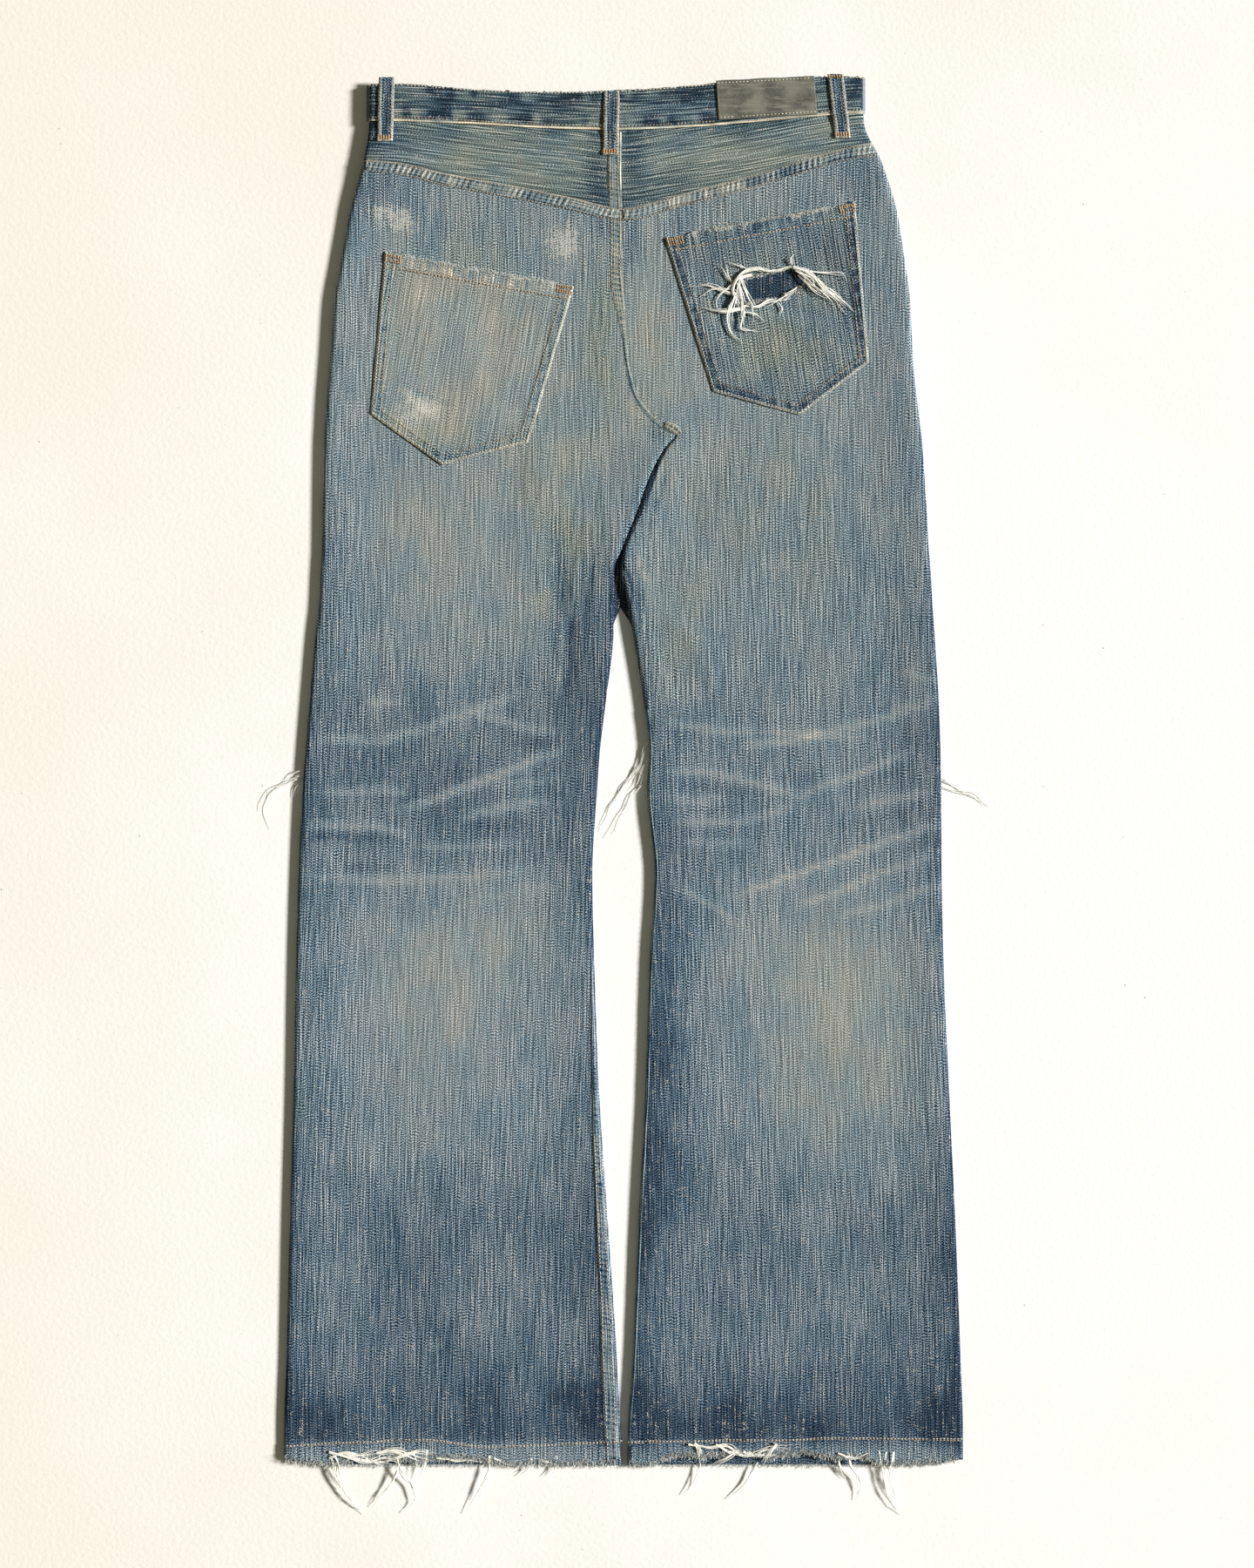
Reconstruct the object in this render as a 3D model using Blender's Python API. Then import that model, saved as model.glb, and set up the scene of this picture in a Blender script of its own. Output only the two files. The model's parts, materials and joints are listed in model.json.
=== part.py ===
"""Ripped jeans, laid flat with the back up.

Frame: metres, +X to the right of the garment as it lies, +Y towards the waist, +Z up, resting on Z = 0.
Each leg is a flattened tube: a front panel on the surface, a back panel over it, and a folded edge on
either side, where the two meet at a seam.  Above the fork the panels of both legs meet at the seat seam
(back) and at the fly (front).  The yokes close the back panels to the waistband, which is one strip that
runs from the buttonhole end round the back to the button end.

A place on the garment is given by x and by "drop", the distance below the highest point of the waist.
Lengths in the tables are millimetres.
"""

import math
from collections import namedtuple

import bmesh
import bpy

MM = 0.001

# ------------------------------------------------------------------ driving dimensions, in millimetres

LENGTH = 1114.0  # highest point of the waist to the hem
CLOTH = 1.5  # worn denim with its nap, one layer
SEAM_GAP = 0.3  # clearance between two pieces that a seam joins
LAID_GAP = 0.5  # clearance under a piece that lies on a panel
MOST_HOLLOW = 3.6  # the most room between front and back at a folded edge
FOLD_RADIUS = 4.0  # how far the rounding of a folded edge reaches in
EDGE_REACH = 45.0  # how far in from an edge the cloth is still held up by it

LOOP_WIDTH = 13.0
LOOP_LENGTH = 50.0
LOOP_THICKNESS = 1.5
LOOP_ARCH = 1.0  # a belt loop stands this much further off in its middle

BAND_THICKNESS = 2.2  # two layers and their turnings
BAND_BOTTOM = LAID_GAP + LOOP_THICKNESS + LOOP_ARCH  # the front waistband stands on its loops
BAND_TOP = BAND_BOTTOM + 7.5
LIFT_FROM, LIFT_TO = 62.0, 125.0  # drops between which the front comes down to the surface
FRONT_DIP = 7.0  # how much lower the front waist lies at its middle
FRONT_DIP_REACH = 200.0  # distance from the middle at which it lies level with the back

POCKET_THICKNESS = 1.4
PATCH_THICKNESS = 1.1
FACING_THICKNESS = 1.2

MOUTH_WIDTH, MOUTH_DEPTH = 98.0, 82.0  # front pocket mouth, a quarter of an ellipse
FACING_OVERLAP = 14.0  # how far the facing runs on behind the mouth

LAP_TIP = 1.5  # x of the buttonhole end, level with the fly
LAP_UNDER = -42.0  # x of the button end behind it
LAP_GAP = 0.4
BUTTON_X = -13.0
BUTTON_RADIUS = 8.5
SHANK_RADIUS = 2.4
BUTTONHOLE = 16.0  # length of the buttonhole

TEAR_END = 4.0  # half height of a tear at its ends
INSEAM_ROLL = 15.0  # how far the left inner leg seam has rolled onto the back at the hem

# ------------------------------------------------------------------ tables

# One row per level: both edges of both legs, and how thick the laid garment is at its folded edges and
# between them.
Level = namedtuple("Level", "drop left_out left_in right_in right_out edge middle")
LEVELS = [
    Level(0, -204, 0, 0, 191, 6.6, 6.6),
    Level(38, -204, -1, -1, 193, 6.6, 6.6),
    Level(69, -209, -2, -2, 207, 6.8, 6.5),
    Level(111, -220, 0, 0, 220, 8.0, 6.4),
    Level(150, -227, -1, -1, 226, 8.2, 6.4),
    Level(178, -232, -1, -1, 230, 8.1, 6.4),
    Level(220, -235, 2, 2, 232, 8.0, 6.2),
    Level(255, -238, 9, 9, 235, 7.8, 5.9),
    Level(270, -239, 18, 18, 237, 7.7, 5.8),
    Level(279, -239.5, 29, 29, 238, 7.6, 5.7),
    Level(286, -240, 43, 44, 239, 7.6, 5.6),
    Level(297, -240.5, 34, 35, 240, 7.5, 5.5),
    Level(319, -241, 22, 23, 241.5, 7.4, 5.4),
    Level(349, -241.5, 11, 12, 243.5, 7.3, 5.2),
    Level(379, -242, -1, 0.5, 245, 7.2, 5.0),
    Level(395, -243, -9, -2, 246.5, 7.2, 5.0),
    Level(423, -244.5, -9, 3.5, 248, 7.1, 4.9),
    Level(444, -247, -8, 7, 249.5, 7.0, 4.9),
    Level(500, -252, -14, 16, 253, 6.8, 4.8),
    Level(542, -255.5, -19, 20.5, 254.5, 6.7, 4.7),
    Level(570, -257.5, -21, 19, 255, 6.6, 4.7),
    Level(640, -261, -25, 25, 255.5, 6.4, 4.6),
    Level(710, -263, -23.5, 21, 257, 6.3, 4.5),
    Level(815, -265, -19.5, 17.5, 261.5, 6.1, 4.4),
    Level(920, -268, -12.5, 12, 266.5, 6.0, 4.4),
    Level(1025, -270.5, -5.5, 7.5, 270.5, 5.8, 4.4),
    Level(1088, -272.5, -2.5, 3.5, 272.5, 5.7, 4.5),
    Level(LENGTH, -272, -1.5, 3, 272.5, 5.6, 4.6),
]

# Levels at which both panels of a leg have a row of cells, between the waist and the hem.
HIP_LEVELS = (134, 174)  # at the side seam, between the pocket mouth and the first panel level
KNEE_LEVEL = 567
PANEL_LEVELS = [220, 255, 270, 279, 286, 297, 319, 349, 379, 395, 423, 460, 500, 540]
PANEL_LEVELS += [KNEE_LEVEL, 575, 605, 640, 710, 780, 850, 920, 990, 1050, 1088]

# The lines across the back at the waist, as drops: top of the band, its seam, and the yoke seam.
WaistLine = namedtuple("WaistLine", "x top seam yoke")
WAIST_LINES = [
    WaistLine(-211, 8, 36.5, 67),
    WaistLine(-180, 7, 36.7, 70),
    WaistLine(-140, 10, 38.3, 79),
    WaistLine(-90, 13, 41, 88),
    WaistLine(-45, 13.5, 43, 97),
    WaistLine(0, 12, 43.7, 106),
    WaistLine(45, 9, 42, 95),
    WaistLine(100, 4.5, 38, 81),
    WaistLine(150, 1.5, 33.3, 66),
    WaistLine(180, 1, 31, 58),
    WaistLine(209, 3.5, 30, 53),
]

# Soft folds of the back: a line from one place to another, its half width and its height.
Fold = namedtuple("Fold", "x1 drop1 x2 drop2 half_width height")
FOLDS = [
    Fold(-36, 330, -34, 480, 16, 1.0),  # held up beside the left inner thigh
    Fold(-60, 350, -80, 500, 14, -0.6),
    Fold(30, 400, 62, 510, 16, 0.8),  # runs out of the fork down the right thigh
    Fold(-215, 500, -110, 488, 16, 0.6),  # creases behind the left knee
    Fold(-150, 575, -60, 545, 16, 0.7),
    Fold(-235, 640, -90, 650, 18, 0.5),
    Fold(60, 520, 190, 505, 16, 0.6),  # creases behind the right knee
    Fold(70, 560, 235, 585, 16, 0.7),
    Fold(60, 655, 200, 625, 18, 0.6),
]

# Bites that wear has taken out of the back hems.
Bite = namedtuple("Bite", "x half_width depth")
BITES = [Bite(-142, 34, 4.0), Bite(52, 34, 7.0), Bite(106, 34, 6.0), Bite(176, 26, 4.0)]

# Corners of a patch pocket and of the waist patch, each (x, drop).
Pocket = namedtuple("Pocket", "top_left top_right bottom_right tip bottom_left")
POCKET_LEFT = Pocket((-191.5, 142), (-40, 169.5), (-76, 294), (-146, 312.5), (-203, 271.5))
POCKET_RIGHT = Pocket((33, 131), (185.5, 102.5), (197, 230.5), (141, 272), (71.5, 253.5))
Patch = namedtuple("Patch", "top_left top_right bottom_right bottom_left")
PATCH = Patch((74, 5), (152.5, 0.5), (155, 31.5), (76, 36.5))

# The tear in the right pocket: its middle, half length, half height and slope (drop over x).
PocketTear = namedtuple("PocketTear", "x drop half_length half_height slope")
POCKET_TEAR = PocketTear(118, 169, 28, 12, -0.12)

# Tears across the front knees: how far in from the outer edge each starts and ends.
KneeTear = namedtuple("KneeTear", "start end drop half_height")
KNEE_TEAR_LEFT = KneeTear(33, 136, 571, 11)
KNEE_TEAR_RIGHT = KneeTear(133, 233, 571, 11)

# Belt loops: x and drop of the upper end, how far the lower end is set sideways, and the face.
BeltLoop = namedtuple("BeltLoop", "name x drop lean on_back")
BELT_LOOPS = [
    BeltLoop("belt_loop_back_left", -189.5, 3, -1.5, True),
    BeltLoop("belt_loop_back_centre", -9.5, 12, -1.0, True),
    BeltLoop("belt_loop_back_right", 169.5, 0, 6.0, True),
    BeltLoop("belt_loop_front_left", -105, 15, 0, False),
    BeltLoop("belt_loop_front_right", 105, 9, 0, False),
]

Side = namedtuple("Side", "name out_column in_column inward roll knee_tear")
LEFT = Side("left", "left_out", "left_in", 1.0, INSEAM_ROLL, KNEE_TEAR_LEFT)
RIGHT = Side("right", "right_out", "right_in", -1.0, 0.0, KNEE_TEAR_RIGHT)

# Colours of the worn cloth, the unworn cloth, the suede and the metal.
DENIM = (0.16, 0.22, 0.29)
DENIM_PALE = (0.24, 0.28, 0.31)
DENIM_DARK = (0.05, 0.07, 0.12)
SUEDE = (0.14, 0.15, 0.12)
BRASS = (0.42, 0.30, 0.16)


# ------------------------------------------------------------------ curves through the tables


def curve_through(table, key, column, at, tangent):
    """A cubic through one column of a table."""
    xs = [getattr(row, key) for row in table]
    ys = [getattr(row, column) for row in table]
    slopes = [(ys[k + 1] - ys[k]) / (xs[k + 1] - xs[k]) for k in range(len(xs) - 1)]
    at = min(max(at, xs[0]), xs[-1])
    k = max(k for k in range(len(slopes)) if xs[k] <= at)
    start = tangent(slopes[max(k - 1, 0)], slopes[k])
    end = tangent(slopes[k], slopes[min(k + 1, len(slopes) - 1)])
    step = xs[k + 1] - xs[k]
    t = (at - xs[k]) / step
    rise = t * t * (3 - 2 * t)
    bend = start * t * (1 - t) ** 2 - end * t * t * (1 - t)
    return ys[k] + (ys[k + 1] - ys[k]) * rise + step * bend


def steady(before, after):
    """A tangent that keeps the curve from swinging past its rows."""
    return 2 * before * after / (before + after) if before * after > 0 else 0.0


def flowing(before, after):
    """A tangent that spreads the bend evenly."""
    return (before + after) / 2


def smooth_step(value, start, end):
    t = min(1.0, max(0.0, (value - start) / (end - start)))
    return t * t * (3 - 2 * t)


def spread(first, last, count):
    return [first + (last - first) * k / (count - 1) for k in range(count)]


def level(column, drop):
    return curve_through(LEVELS, "drop", column, drop, steady)


def waist_line(column, x):
    return curve_through(WAIST_LINES, "x", column, x, flowing)


def front_dip(x):
    """How much lower the front waist lies than the back, none at the side seams."""
    return FRONT_DIP * math.cos(math.pi / 2 * min(1.0, abs(x) / FRONT_DIP_REACH)) ** 2


# ------------------------------------------------------------------ the form of the laid cloth

QUARTER = FOLD_RADIUS * math.pi / 2  # arc length from the outermost line of a fold to the flat
HALF_GAP = SEAM_GAP / 2


def arc_at(inset):
    """Arc length from the outermost line of a fold to a place that far in, on the flat."""
    return QUARTER + inset - FOLD_RADIUS


def tube_share(drop):
    """0 above the fork, where the inner edges are seams, and 1 below it, where they are folds."""
    return smooth_step(drop, 281, 300)


def front_height(drop):
    """The front's outer face: on the surface, and lifted where the belt loops are under it."""
    return BAND_BOTTOM * (1 - smooth_step(drop, LIFT_FROM, LIFT_TO))


def fold_height(x, drop):
    """What the soft folds add at a place on the back."""
    total = 0.0
    for fold in FOLDS:
        along_x, along_drop = fold.x2 - fold.x1, fold.drop2 - fold.drop1
        length = math.hypot(along_x, along_drop)
        share = ((x - fold.x1) * along_x + (drop - fold.drop1) * along_drop) / length**2
        off = ((x - fold.x1) * along_drop - (drop - fold.drop1) * along_x) / length
        if 0 < share < 1:
            total += fold.height * math.sin(math.pi * share) * math.exp(-((off / fold.half_width) ** 2))
    return total


def back_height(side, x, drop):
    """The back's outer face away from the rounding of its edges."""
    from_out = abs(x - level(side.out_column, drop))
    from_in = abs(x - level(side.in_column, drop))
    held = 1 - smooth_step(from_out, 0, EDGE_REACH)
    held += tube_share(drop) * (1 - smooth_step(from_in, 0, EDGE_REACH))
    held = min(1.0, held)
    thick = level("edge", drop) * held + (level("middle", drop) + fold_height(x, drop)) * (1 - held)
    return front_height(drop) + thick


def wall_at(side, x, drop):
    """The cloth is one layer, and the seam turnings make it thicker beside a folded edge."""
    from_out = abs(x - level(side.out_column, drop))
    from_in = abs(x - level(side.in_column, drop))
    at_edge = max(CLOTH, (level("edge", drop) - MOST_HOLLOW) / 2)
    near = 1 - smooth_step(from_out, 8, 30)
    near = max(near, tube_share(drop) * (1 - smooth_step(from_in, 8, 30)))
    return CLOTH + (at_edge - CLOTH) * near


def round_fold(inward, arc, flat, half_thick, share=1.0):
    """Inset, height and outward normal (across, up) on the rounding of a folded edge.

    arc is positive over the back and negative under the front, flat is the height of that face.
    """
    angle = min(1.0, abs(arc) / QUARTER) * math.pi / 2
    face = 1.0 if arc > 0 else -1.0
    inset = FOLD_RADIUS * (1 - math.cos(angle)) + max(0.0, abs(arc) - QUARTER)
    height = flat - face * share * half_thick * (1 - math.sin(angle))
    across = -inward * math.cos(angle) * share
    up = face * (1 - share * (1 - math.sin(angle)))
    size = math.hypot(across, up)
    return inset, height, (across / size, up / size)


def skin_point(side, edge, arc, drop, depth=0.0):
    """A point on a leg's skin, or that deep inside it, as (x, drop, height)."""
    at_out = edge == "out"
    line = level(side.out_column if at_out else side.in_column, drop)
    inward = side.inward if at_out else -side.inward
    share = 1.0 if at_out else tube_share(drop)
    inset, _, _ = round_fold(inward, arc, 0.0, 0.0, share)
    # where two legs meet at a seam, each keeps off it by half the gap
    x = line + inward * (inset + HALF_GAP * (1 - share))
    flat = back_height(side, x, drop) if arc > 0 else front_height(drop)
    half_thick = level("edge", drop) / 2
    _, height, (across, up) = round_fold(inward, arc, flat, half_thick, share)
    return x - across * depth, drop, height - up * depth


# ------------------------------------------------------------------ making solids


def denim(name, colour, roughness=0.9, metallic=0.0):
    made = bpy.data.materials.new(name)
    made.use_nodes = True
    shader = made.node_tree.nodes["Principled BSDF"]
    shader.inputs["Base Color"].default_value = (*colour, 1.0)
    shader.inputs["Roughness"].default_value = roughness
    shader.inputs["Metallic"].default_value = metallic
    return made


def add_solid(name, points, faces, finish):
    """points are (x, drop, height) in millimetres, faces enclose one body."""
    mesh = bpy.data.meshes.new(name)
    mesh.from_pydata([(x * MM, (LENGTH / 2 - drop) * MM, z * MM) for x, drop, z in points], [], faces)
    shape = bmesh.new()
    shape.from_mesh(mesh)
    bmesh.ops.triangulate(shape, faces=shape.faces, quad_method="SHORT_EDGE")
    bmesh.ops.recalc_face_normals(shape, faces=shape.faces)
    shape.to_mesh(mesh)
    shape.free()
    mesh.materials.append(finish)
    made = bpy.data.objects.new(name, mesh)
    bpy.context.scene.collection.objects.link(made)


def add_cloth(name, outer, inner, finish, missing=()):
    """A wall between two grids of points, open at the cells (row, column) that are missing."""
    columns = len(outer[0])
    points = [point for row in outer + inner for point in row]
    layer = len(outer) * columns
    cells = [(r, c) for r in range(len(outer) - 1) for c in range(columns - 1)]
    quads = []
    for r, c in cells:
        if (r, c) not in missing:
            corner = r * columns + c
            quads.append([corner, corner + 1, corner + columns + 1, corner + columns])
    sides = [pair for quad in quads for pair in zip(quad, quad[1:] + quad[:1])]
    inside = set(sides)
    rims = [(a, b) for a, b in sides if (b, a) not in inside]
    faces = quads + [[i + layer for i in reversed(quad)] for quad in quads]
    faces += [[b, a, a + layer, b + layer] for a, b in rims]
    add_solid(name, points, faces, finish)


# ------------------------------------------------------------------ leg panels


def hem_line(x, on_back):
    """Drop of the hem, with the bites that wear has taken out of the back."""
    line = LENGTH - 4.0 * smooth_step(abs(x), 235, 272)
    for bite in BITES:
        if on_back:
            line -= bite.depth * max(0.0, 1 - ((x - bite.x) / bite.half_width) ** 2)
    return line


def leg_width(side, drop):
    return abs(level(side.in_column, drop) - level(side.out_column, drop))


def seam_roll(side, drop):
    """How far the inner leg seam has rolled onto the back, along the cloth."""
    return side.roll * smooth_step(drop, 700, 1040)


def back_columns(side, drop):
    """(edge, arc) of each column of a back panel, from the side seam to the inner seam."""
    roll = seam_roll(side, drop)
    reach = max(QUARTER, roll + 6.0)
    flat_end = leg_width(side, drop) - FOLD_RADIUS - (reach - QUARTER)
    out = [("out", arc) for arc in spread(HALF_GAP, QUARTER, 4)]
    across = [("out", arc_at(inset)) for inset in spread(FOLD_RADIUS, flat_end, 9)[1:-1]]
    return out + across + [("in", arc) for arc in spread(reach, roll + HALF_GAP, 4)]


def front_columns(side, drop):
    """(edge, arc) of each column of a front panel, closer together along the pocket mouth."""
    roll = seam_roll(side, drop)
    out = [("out", -arc) for arc in spread(HALF_GAP, QUARTER, 4)]
    mouth = [MOUTH_WIDTH * math.sin(math.radians(angle)) for angle in (20, 40, 58, 74, 90)]
    rest = spread(MOUTH_WIDTH, leg_width(side, drop) - FOLD_RADIUS, 5)[1:-1]
    across = [("out", -arc_at(inset)) for inset in mouth + rest]
    return out + across + [("in", arc) for arc in spread(-QUARTER, roll - HALF_GAP, 5)]


def mouth_drop(x, inset, width, depth):
    """Drop of a front pocket's mouth that far in from the side, or of the waist seam beyond it."""
    return waist_line("seam", x) + front_dip(x) + depth * math.sqrt(1 - min(1.0, inset / width) ** 2)


def meet(side, columns, index, line):
    """(edge, arc, drop) where one column of a panel meets a line, given as drop for x and inset."""
    drop = PANEL_LEVELS[0]
    for _ in range(4):
        edge, arc = columns(side, drop)[index]
        x = skin_point(side, edge, arc, drop)[0]
        drop = line(x, abs(x - level(side.out_column, drop)))
    return edge, arc, drop


def seam_drops(side):
    """Drops down the side seam: the waist seam, the yoke seam, the foot of the pocket mouth."""
    x = level(side.out_column, 60)
    return waist_line("seam", x), waist_line("yoke", x), waist_line("seam", x) + MOUTH_DEPTH


def panel_places(side, columns, top_line, seam_levels, bottom_line):
    """Rows of (edge, arc, drop) of a leg panel, from its top line to the hem.

    Above the panel levels, a row meets the side seam at each of the seam levels.
    """
    count = len(columns(side, LENGTH))
    first = PANEL_LEVELS[0]
    top = [meet(side, columns, i, top_line)[2] for i in range(count)]
    rows = []
    for seam_level in (top[0], *seam_levels):
        share = (seam_level - top[0]) / (first - top[0])
        drops = [drop + (first - drop) * share for drop in top]
        rows.append([(*columns(side, drop)[i], drop) for i, drop in enumerate(drops)])
    rows += [[(edge, arc, drop) for edge, arc in columns(side, drop)] for drop in PANEL_LEVELS]
    rows.append([meet(side, columns, i, bottom_line) for i in range(count)])
    return rows


def add_panel(name, side, places, finish, missing=(), depth=0.0, thickness=None):
    """Cloth between the skin, or that deep inside it, and its own thickness further in."""
    outer, inner = [], []
    for row in places:
        points = [skin_point(side, *place) for place in row]
        walls = [wall_at(side, x, drop) for x, drop, _ in points]
        starts = [depth + wall if depth else 0.0 for wall in walls]
        ends = [start + (thickness or wall) for start, wall in zip(starts, walls)]
        outer.append([skin_point(side, *place, start) for place, start in zip(row, starts)])
        inner.append([skin_point(side, *place, end) for place, end in zip(row, ends)])
    add_cloth(name, outer, inner, finish, missing)


def add_back_leg(side, finish):
    places = panel_places(
        side,
        back_columns,
        lambda x, inset: waist_line("yoke", x) + HALF_GAP,
        (seam_drops(side)[2] + HALF_GAP, *HIP_LEVELS),
        lambda x, inset: hem_line(x, True),
    )
    add_panel(f"back_leg_{side.name}", side, places, finish)


def add_front_leg(side, finish):
    """A front panel is cut away at the pocket mouth and torn across the knee."""
    places = panel_places(
        side,
        front_columns,
        lambda x, inset: mouth_drop(x, inset, MOUTH_WIDTH, MOUTH_DEPTH) + HALF_GAP,
        HIP_LEVELS,
        lambda x, inset: hem_line(x, False),
    )
    tear = side.knee_tear
    upper = 1 + len(HIP_LEVELS) + PANEL_LEVELS.index(KNEE_LEVEL)
    missing = []
    for column, (edge, arc, _) in enumerate(places[upper]):
        inset = abs(skin_point(side, edge, arc, tear.drop)[0] - level(side.out_column, tear.drop))
        share = (inset - tear.start) / (tear.end - tear.start)
        if 0 <= share <= 1:
            half = TEAR_END + (tear.half_height - TEAR_END) * math.sin(math.pi * share)
            places[upper][column] = (edge, arc, tear.drop - half)
            places[upper + 1][column] = (edge, arc, tear.drop + half)
            missing.append((upper, column))
    add_panel(f"front_leg_{side.name}", side, places, finish, missing[:-1])


def add_facing(side, finish):
    """The piece that shows in a front pocket's mouth and runs on behind it."""
    width, depth = MOUTH_WIDTH + FACING_OVERLAP, MOUTH_DEPTH + FACING_OVERLAP
    insets = [width * math.sin(math.radians(angle)) for angle in (18, 36, 54, 74)]
    columns = [("out", -arc) for arc in spread(HALF_GAP, QUARTER, 4)]
    columns += [("out", -arc_at(inset)) for inset in insets]

    def same_columns(side, drop):
        return columns

    def top_line(x, inset):
        return waist_line("seam", x) + front_dip(x) + HALF_GAP

    def bottom_line(x, inset):
        return mouth_drop(x, inset, width, depth)

    ends = [
        [meet(side, same_columns, i, line)[2] for i in range(len(columns))]
        for line in (top_line, bottom_line)
    ]
    start, end = ends[0][0], ends[1][0]
    _, yoke, mouth = seam_drops(side)
    places = []
    for seam_level in (start, yoke, mouth + HALF_GAP, end):
        share = (seam_level - start) / (end - start)
        drops = [top + (bottom - top) * share for top, bottom in zip(*ends)]
        places.append([(*column, drop) for column, drop in zip(columns, drops)])
    name = f"front_pocket_facing_{side.name}"
    add_panel(name, side, places, finish, depth=LAID_GAP, thickness=FACING_THICKNESS)


def add_yoke(side, finish):
    count = len(back_columns(side, 0.0))
    rows = []
    for share in spread(0.0, 1.0, 4):

        def line(x, inset, share=share):
            top, bottom = waist_line("seam", x) + HALF_GAP, waist_line("yoke", x) - HALF_GAP
            return top + (bottom - top) * share

        rows.append([meet(side, back_columns, i, line) for i in range(count)])
    add_panel(f"yoke_{side.name}", side, rows, finish)


# ------------------------------------------------------------------ waistband and button


def band_columns():
    """(side, arc, lift) along the waistband, from the buttonhole end round to the button end."""
    hole = [BUTTON_X + BUTTONHOLE / 2, BUTTON_X - BUTTONHOLE / 2]
    fold = spread(-QUARTER, QUARTER, 7)

    def flat_arc(side, x):
        return arc_at(abs(x - level(side.out_column, 20)))

    front_xs = spread(-45, -175, 6)
    columns = [(LEFT, -flat_arc(LEFT, x), 0.0) for x in (LAP_TIP, *hole, *front_xs)]
    columns += [(LEFT, arc, 0.0) for arc in fold]
    columns += [(LEFT, flat_arc(LEFT, x), 0.0) for x in spread(-178, -14, 7)]
    columns += [(RIGHT, flat_arc(RIGHT, x), 0.0) for x in spread(14, 168, 7)]
    columns += [(RIGHT, arc, 0.0) for arc in reversed(fold)]
    for x in (*spread(165, 30, 6), 22, 14, 6, LAP_UNDER / 2, LAP_UNDER):
        lift = (BAND_THICKNESS + LAP_GAP) * (1 - smooth_step(x, 6, 30))
        columns.append((RIGHT, -flat_arc(RIGHT, x), lift))
    return columns


def band_drops(x, arc):
    dip = front_dip(x) if arc < 0 else 0.0
    return waist_line("top", x) + dip, waist_line("seam", x) + dip - HALF_GAP


def add_waistband(finish):
    """One strip with a buttonhole near its outer end."""
    half_thick = (BAND_TOP - BAND_BOTTOM) / 2
    columns = band_columns()
    outer, inner = [], []
    for share in (0.0, 0.4, 0.6, 1.0):
        outer_row, inner_row = [], []
        for side, arc, lift in columns:
            flat = BAND_TOP if arc > 0 else BAND_BOTTOM
            inset, height, (across, up) = round_fold(side.inward, arc, flat, half_thick)
            x = level(side.out_column, 20) + side.inward * inset
            top, bottom = band_drops(x, arc)
            drop = top + (bottom - top) * share
            outer_row.append((x, drop, height + lift))
            depth = BAND_THICKNESS
            inner_row.append((x - across * depth, drop, height - up * depth + lift))
        outer.append(outer_row)
        inner.append(inner_row)
    add_cloth("waistband", outer, inner, finish, missing=[(1, 1)])


def add_button(finish):
    """A tack button: its head lies on the surface and its shank goes up through the buttonhole."""
    top, bottom = band_drops(BUTTON_X, -1)
    middle = (top + bottom) / 2
    under_band = BAND_BOTTOM - SEAM_GAP
    shank_end = BAND_BOTTOM + BAND_THICKNESS + LAP_GAP - SEAM_GAP
    profile = [(BUTTON_RADIUS - 1.2, 0.0), (BUTTON_RADIUS, 0.9), (BUTTON_RADIUS, under_band - 0.6)]
    profile += [(BUTTON_RADIUS - 1.0, under_band), (SHANK_RADIUS, under_band), (SHANK_RADIUS, shank_end)]
    steps = 16
    points = []
    for radius, height in profile:
        for k in range(steps):
            turn = 2 * math.pi * k / steps
            points.append((BUTTON_X + radius * math.cos(turn), middle + radius * math.sin(turn), height))
    faces = [list(range(steps)), list(range(len(points) - steps, len(points)))]
    for ring in range(len(profile) - 1):
        for k in range(steps):
            a, b = ring * steps + k, ring * steps + (k + 1) % steps
            faces.append([a, b, b + steps, a + steps])
    add_solid("waist_button", points, faces, finish)


# ------------------------------------------------------------------ pieces that lie on the panels


def between(start, end, share):
    return tuple(a + (b - a) * share for a, b in zip(start, end))


def back_surface(x, drop):
    """Height of the back under a piece that lies on it."""
    if drop < waist_line("seam", x) + 1.0:
        return BAND_TOP
    side = LEFT if x < level("left_in", drop) else RIGHT
    return back_height(side, x, drop)


def add_laid_piece(name, grid, thickness, finish, missing=()):
    """A piece of the given (x, drop) places on the back, with its thickness outwards."""
    lower = [[(x, drop, back_surface(x, drop) + LAID_GAP) for x, drop in row] for row in grid]
    upper = [[(x, drop, z + thickness) for x, drop, z in row] for row in lower]
    add_cloth(name, upper, lower, finish, missing)


def pocket_grid(pocket, tip_share, rows, columns):
    """Places on a pocket: straight top and sides, and a lower edge that runs down to its tip."""
    grid = []
    for v in rows:
        row = []
        for u in columns:
            top = between(pocket.top_left, pocket.top_right, u)
            if u < tip_share:
                bottom = between(pocket.bottom_left, pocket.tip, u / tip_share)
            else:
                bottom = between(pocket.tip, pocket.bottom_right, (u - tip_share) / (1 - tip_share))
            row.append(between(top, bottom, v))
        grid.append(row)
    return grid


def add_pocket_left(finish):
    tip_share = 0.46
    columns = [0.0, 0.15, 0.3, tip_share, 0.65, 0.83, 1.0]
    grid = pocket_grid(POCKET_LEFT, tip_share, spread(0.0, 1.0, 7), columns)
    add_laid_piece("back_pocket_left", grid, POCKET_THICKNESS, finish)


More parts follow.
